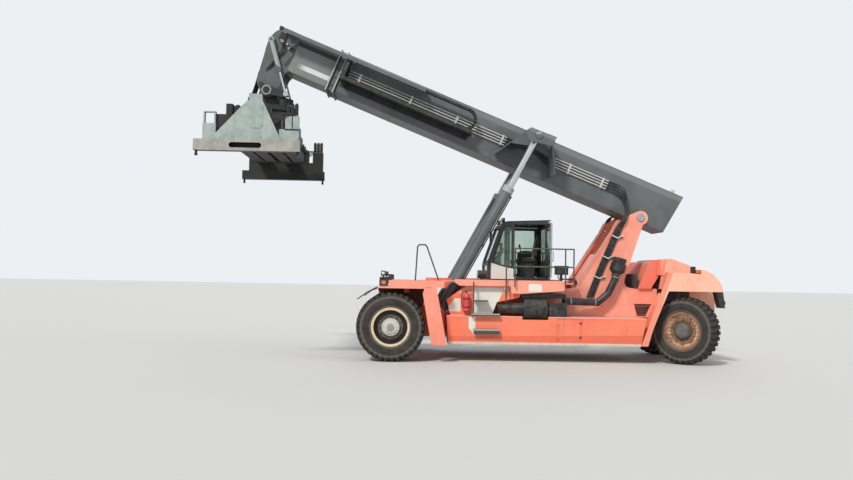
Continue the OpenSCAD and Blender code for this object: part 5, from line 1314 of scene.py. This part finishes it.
tuple(along(0.33, 0, -0.02))
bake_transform(item)
bm = bmesh.new()
for hand in (-1, 1):
    for i in range(3):
        y = hand * (0.90 + 0.035 * i)
        hose(bm, [at(1.78, y, 1.24), at(1.70, y, 1.42 + 0.05 * i), at(1.52, y, 1.58 + 0.04 * i),
                  on_lift(hand, 0.42 + 0.05 * i, 0.04, 0.19),
                  on_lift(hand, 0.30 + 0.05 * i, 0, 0.148)], 0.015)
item = finish("lift_foot_hoses", bm, None, black_rubber, 40)
tuple(at(1.76, 0, 1.35))
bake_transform(item)

# Lid and cable loops of the junction box, and the cab's cables
bm = bmesh.new()
block(bm, at(3.915, -1.540, 2.295), at(4.240, -1.370, 2.318))
for x in (3.95, 4.18):
    block(bm, at(x, -1.545, 2.24), at(x + 0.03, -1.530, 2.29))
for i in range(3):
    x = 4.00 + 0.09 * i
    hose(bm, [(x, -1.44, 2.102), (x, -1.46, 2.03), (4.06 + 0.10 * i, -1.47, 1.985),
              (4.30 + 0.05 * i, -1.40, 2.00 + 0.01 * i), (4.46 + 0.02 * i, -1.20, 1.93),
              (4.50 + 0.02 * i, -0.98, 1.86)], 0.012, place=at)
finish("junction_box_fittings", bm, "chassis", black_plastic, 35, 0.002)


def disc_lens(bm, foot, way, radius, depth):
    """A domed glass on a lamp's face."""
    way = Vector(way)
    stud(bm, foot, way * depth * 0.6, radius, 28, radius * 0.96)
    stud(bm, foot + way * depth * 0.6, way * depth * 0.4, radius * 0.96, 28, radius * 0.7)


white, amber, red = bmesh.new(), bmesh.new(), bmesh.new()
for hand in (-1, 1):
    disc_lens(white, at(-0.2402, hand * 1.925, 2.062), (-1, 0, 0), 0.055, 0.014)
    disc_lens(white, at(-0.19, hand * 1.982, 2.062), (0, hand, 0), 0.036, 0.012)
    disc_lens(white, at(-0.2752, hand * 1.925, 1.90), (-1, 0, 0), 0.050, 0.014)
    disc_lens(amber, at(-0.2752, hand * 1.925, 1.815), (-1, 0, 0), 0.028, 0.012)
    slab(amber, [(p - 0.18, q + 1.85) for p, q in pad(0.05, 0.04, 0.015)], hand * 1.9901,
         hand * 1.998, TO_ROW)
    disc_lens(red, at(8.000, hand * 1.40, 1.62), (1, 0, 0.12), 0.05, 0.014)
    disc_lens(red, at(8.016, hand * 1.52, 1.50), (1, 0, 0.12), 0.05, 0.014)
for radius, depth in ((0.085, 0.016), (0.06, 0.02)):
    disc_lens(white, at(2.0498, -1.48, 2.08), (-1, 0, 0), radius, depth)
round_bar(amber, at(7.38, -1.50, 2.205), at(7.38, -1.50, 2.273), 0.047, 28, 0.045)
disc_lens(amber, at(7.38, -1.50, 2.273), (0, 0, 1), 0.045, 0.014)
for name, bm, material in (("white_lamp_glasses", white, white_lens),
                           ("amber_lamp_glasses", amber, amber_lens),
                           ("red_lamp_glasses", red, red_lens)):
    finish(name, bm, "chassis", material, 40)

# Clamps and end ribs of the air cleaner
CLEANER_Y, CLEANER_Z = -1.40, 1.2713
bm = bmesh.new()
for x in (3.153, 3.695):
    for p in circle(6, 0.252, 0.3):
        block(bm, at(x - 0.004, CLEANER_Y + p.x - 0.010, CLEANER_Z + p.z - 0.010),
              at(x + 0.044, CLEANER_Y + p.x + 0.010, CLEANER_Z + p.z + 0.010))
for x in (2.553, 2.5665, 2.580):
    stud(bm, at(x, CLEANER_Y, CLEANER_Z), (0.008, 0, 0), 0.124, 32)
finish("air_cleaner_fittings", bm, "chassis", black_plastic, 35)
# Worm drive clamps of the duct
bm = bmesh.new()
for a, b, radius in (((5.487, -1.09, 2.13), (5.505, -1.09, 2.20), 0.093),
                     ((5.469, -1.09, 2.06), (5.487, -1.09, 2.13), 0.093),
                     ((4.32, -1.252, 1.466), (4.42, -1.229, 1.464), 0.092),
                     ((4.95, -1.110, 1.4430), (5.04, -1.09, 1.44), 0.092)):
    a, way = at(*a), (at(*b) - at(*a)).normalized()
    side = way.orthogonal().normalized()
    stud(bm, a, way * 0.018, radius, 32)
    stud(bm, a + side * radius, way.cross(side) * 0.035, 0.011, 8)
finish("duct_clamps", bm, "chassis", bright_steel, 35)

# ---------------------------------------------------------------- yoke and spreader
# Near-black steelwork under the head, grimy and darkened further with painted shade: motors with
# caps, ring bolts, hoses, and dark main beams; only the end plates and their housings are pale
# grey-green, with rust on the end beams.
END_REACH, PLATE_FOOT, SPREADER_TOP, RING_Z = 2.9265, 4.9705, 5.55, TILT.z - 0.69


def spreader_zones(x, y, z, patchy, colour):
    """The beams' undersides are black with grease and shade."""
    return lay(colour, ~step(z, 5.13, 5.30) * 0.9, srgb(9, 9, 10))


def end_zones(x, y, z, patchy, colour):
    """Pale end plate and housings; the plate behind the trapezoid stays black."""
    x, side = x - TILT.x, abs(y)
    above = step(z, PLATE_FOOT - 0.0015, PLATE_FOOT + 0.0015)
    ends = step(side, 2.866, 2.868) * step(abs(x), 0.741, 0.743)
    # The valve housing is pale, with a dark joint down its middle and black accumulators on top
    valves = step(z, 5.538, 5.542) | between(z, 5.196, 5.236)
    valves = valves | between(x, 0.985, 1.010) * step(z, 5.236, 5.240)
    plate = (step(side, 2.899, 2.901) | ends) * above * ~(step(x, 0.83, 0.832) * valves)
    rust = lay(srgb(150, 146, 136), step(patchy, 0.35, 0.6), srgb(172, 168, 160))
    colour = lay(colour, step(side, 3.024, 3.03) * ~above, rust)
    pale = lay(srgb(148, 160, 156), step(patchy, 0.35, 0.65), srgb(170, 181, 175))
    return lay(colour, plate, pale)


# The base blacks of the main beams, end beams and yoke are darker than their paint: painted shade
# for their undersides and inner faces
steel_black = dress(coat("spreader_black", srgb(22, 23, 24), srgb(38, 38, 37), spreader_zones,
                         0.9, 0.5, 0.52, srgb(104, 80, 62), srgb(90, 82, 72)), "spreader_frame")
end_coat = dress(coat("end_plate_pale", srgb(18, 18, 19), srgb(32, 32, 31), end_zones, 0.8, 0.9,
                      chip_colour=srgb(112, 84, 62)), "left_end_beam", "right_end_beam")
ring_black = dress(coat("ring_black", srgb(30, 31, 32), srgb(48, 49, 48), None, 0.6, 0.9,
                        chip_colour=srgb(96, 76, 60)), "slew_frame", "yoke")
bm = bmesh.new()
for a in (radians(45 + 90 * k) for k in range(4)):
    foot = by_tilt(0.56 * cos(a), 0.56 * sin(a), RING_Z + 0.469)
    stud(bm, foot, (0, 0, 0.05), 0.085, 24, 0.07)
    stud(bm, foot + Vector((0, 0, 0.05)), (0, 0, 0.09), 0.052, 20)
    out = Vector((cos(a + 1.2), sin(a + 1.2), 0))
    hose(bm, [foot + out * reach + Vector((0, 0, z)) for reach, z in (
        (0, 0.11), (0.10, 0.115), (0.2, 0.05), (0.24, -0.12))], 0.014)
one = bmesh.new()
nut(one, 0.016, 0.014, 0.0, 0.022)
bmesh.ops.transform(one, matrix=Matrix.Translation((0.665, 0, 0))
                    @ Matrix.Rotation(radians(90), 4, "X"), verts=one.verts)
for a in (2 * pi * k / 36 for k in range(36)):
    copy = bpy.data.meshes.new("nut")
    one.to_mesh(copy)
    add_mesh(bm, copy, Matrix.Translation(by_tilt(0, 0, RING_Z + 0.300))
             @ Matrix.Rotation(a, 4, "Z"))
one.free()
finish("slewing_motors", bm, "yoke", ring_black, 35)
bm = bmesh.new()
for y in (-0.20 + 0.08 * i for i in range(6)):
    hose(bm, [along(10.30, y, -0.28), along(10.27, y, -0.50), by_tilt(-0.36, y, TILT.z + 0.10),
              by_tilt(-0.42, y * 1.1, TILT.z - 0.12), by_tilt(-0.40, y * 1.2, RING_Z + 0.42),
              by_tilt(-0.36, y * 1.3, RING_Z + 0.31)], 0.018)
item = finish("drop_hoses", bm, None, black_rubber, 40)
tuple(along(10.27, 0, -0.50))
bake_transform(item)

# Junction block, hose loops and couplings on the sides of the boom's head, inside the dampers
bm = bmesh.new()
for hand in (-1, 1):
    block(bm, (9.96, hand * 0.455, 0.66), (10.12, hand * 0.495, 0.84), BOOM)
    for i in range(3):
        hose(bm, [(10.06 - 0.03 * i, hand * 0.475, 0.68), (9.94 - 0.05 * i, hand * 0.48, 0.46),
                  (10.00 - 0.04 * i, hand * 0.48, 0.12 + 0.06 * i),
                  (10.10 - 0.04 * i, hand * 0.47, -0.22 + 0.05 * i)], 0.012, place=along)
    hose(bm, [(9.78, hand * 0.49, 0.52), (9.68, hand * 0.49, 0.58), (9.62, hand * 0.49, 0.40),
              (9.72, hand * 0.475, 0.08)], 0.012, place=along)
finish("head_hoses", bm, "inner_boom", black_rubber, 40)
bm = bmesh.new()
for hand in (-1, 1):
    for s, t in ((9.78, 0.52), (9.86, 0.60), (9.70, 0.66)):
        stud(bm, along(s, hand * 0.455, t), (0, hand * 0.045, 0), 0.030, 12, 0.024)
    for s in (10.06, 10.03, 10.00):
        round_bar(bm, along(s, hand * 0.475, 0.665), along(s - 0.03, hand * 0.475, 0.60), 0.019, 10)
    block(bm, (9.99, hand * 0.455, 0.846), (10.04, hand * 0.4965, 0.88), BOOM)
finish("head_couplings", bm, "inner_boom", silver, 35)

# Telescope cylinders, pipes and valve hoses on the main beams, clear of the carriage's travel
bm = bmesh.new()
for hand, y0, y1 in ((-1, -1.95, 0.4), (1, -0.4, 1.95)):
    round_bar(bm, by_tilt(hand * 0.77, y0, 5.40), by_tilt(hand * 0.77, y1, 5.40), 0.045, 20)
    for y in (y0, (y0 + y1) / 2, y1 - 0.06):
        block(bm, by_tilt(hand * 0.72 - 0.01, y, 5.35),
              by_tilt(hand * 0.82 + 0.01, y + 0.06, 5.45))
for x in (-0.46 + 0.06 * i for i in range(5)):
    hose(bm, [(x, -1.62, SPREADER_TOP + 0.15), (x, -1.55, SPREADER_TOP + 0.16),
              (x * 1.05, -1.505, SPREADER_TOP + 0.10), (x * 1.1, -1.49, SPREADER_TOP + 0.01)],
         0.014, place=by_tilt)
finish("spreader_lines", bm, "spreader", steel_black, 35)
for side, hand in SIDES:
    # Bolts of the end plate and its weld bead, then the valve's hoses and its accumulators' caps
    y = hand * END_REACH
    bm = bmesh.new()
    bolts = [(x, 0.108, z) for x in (0.07, 0.305) for z in (5.70, 5.30, 5.5)]
    bolts += [(x, 0.095, 5.03) for x in (-0.6, -0.3, 0.0, 0.3, 0.6)]
    for x, out, z in bolts:
        stud(bm, by_tilt(x, y + hand * out, z), (0, hand * 0.012, 0), 0.016, 6)
    hose(bm, [(x, y + hand * 0.098, 4.973) for x in (-0.78, 0.76)], 0.008, 6, 0, by_tilt)
    finish(f"{side}_end_fittings", bm, f"{side}_end", end_coat, 35)
    bm = bmesh.new()
    for i in range(4):
        x = 0.86 + 0.07 * i
        hose(bm, [(x, y + hand * 0.03, 5.50), (x - 0.1, y + hand * 0.07, 5.58),
                  (0.62, y + hand * 0.06, 5.50 - 0.05 * i),
                  (0.45, y + hand * 0.02, 5.40 - 0.06 * i)], 0.013, place=by_tilt)
    for x in (0.90, 0.99, 1.08):
        stud(bm, by_tilt(x, y - hand * 0.025, 5.789), (0, 0, 0.03), 0.030, 12)
    finish(f"{side}_end_hoses", bm, f"{side}_end", black_rubber, 35)
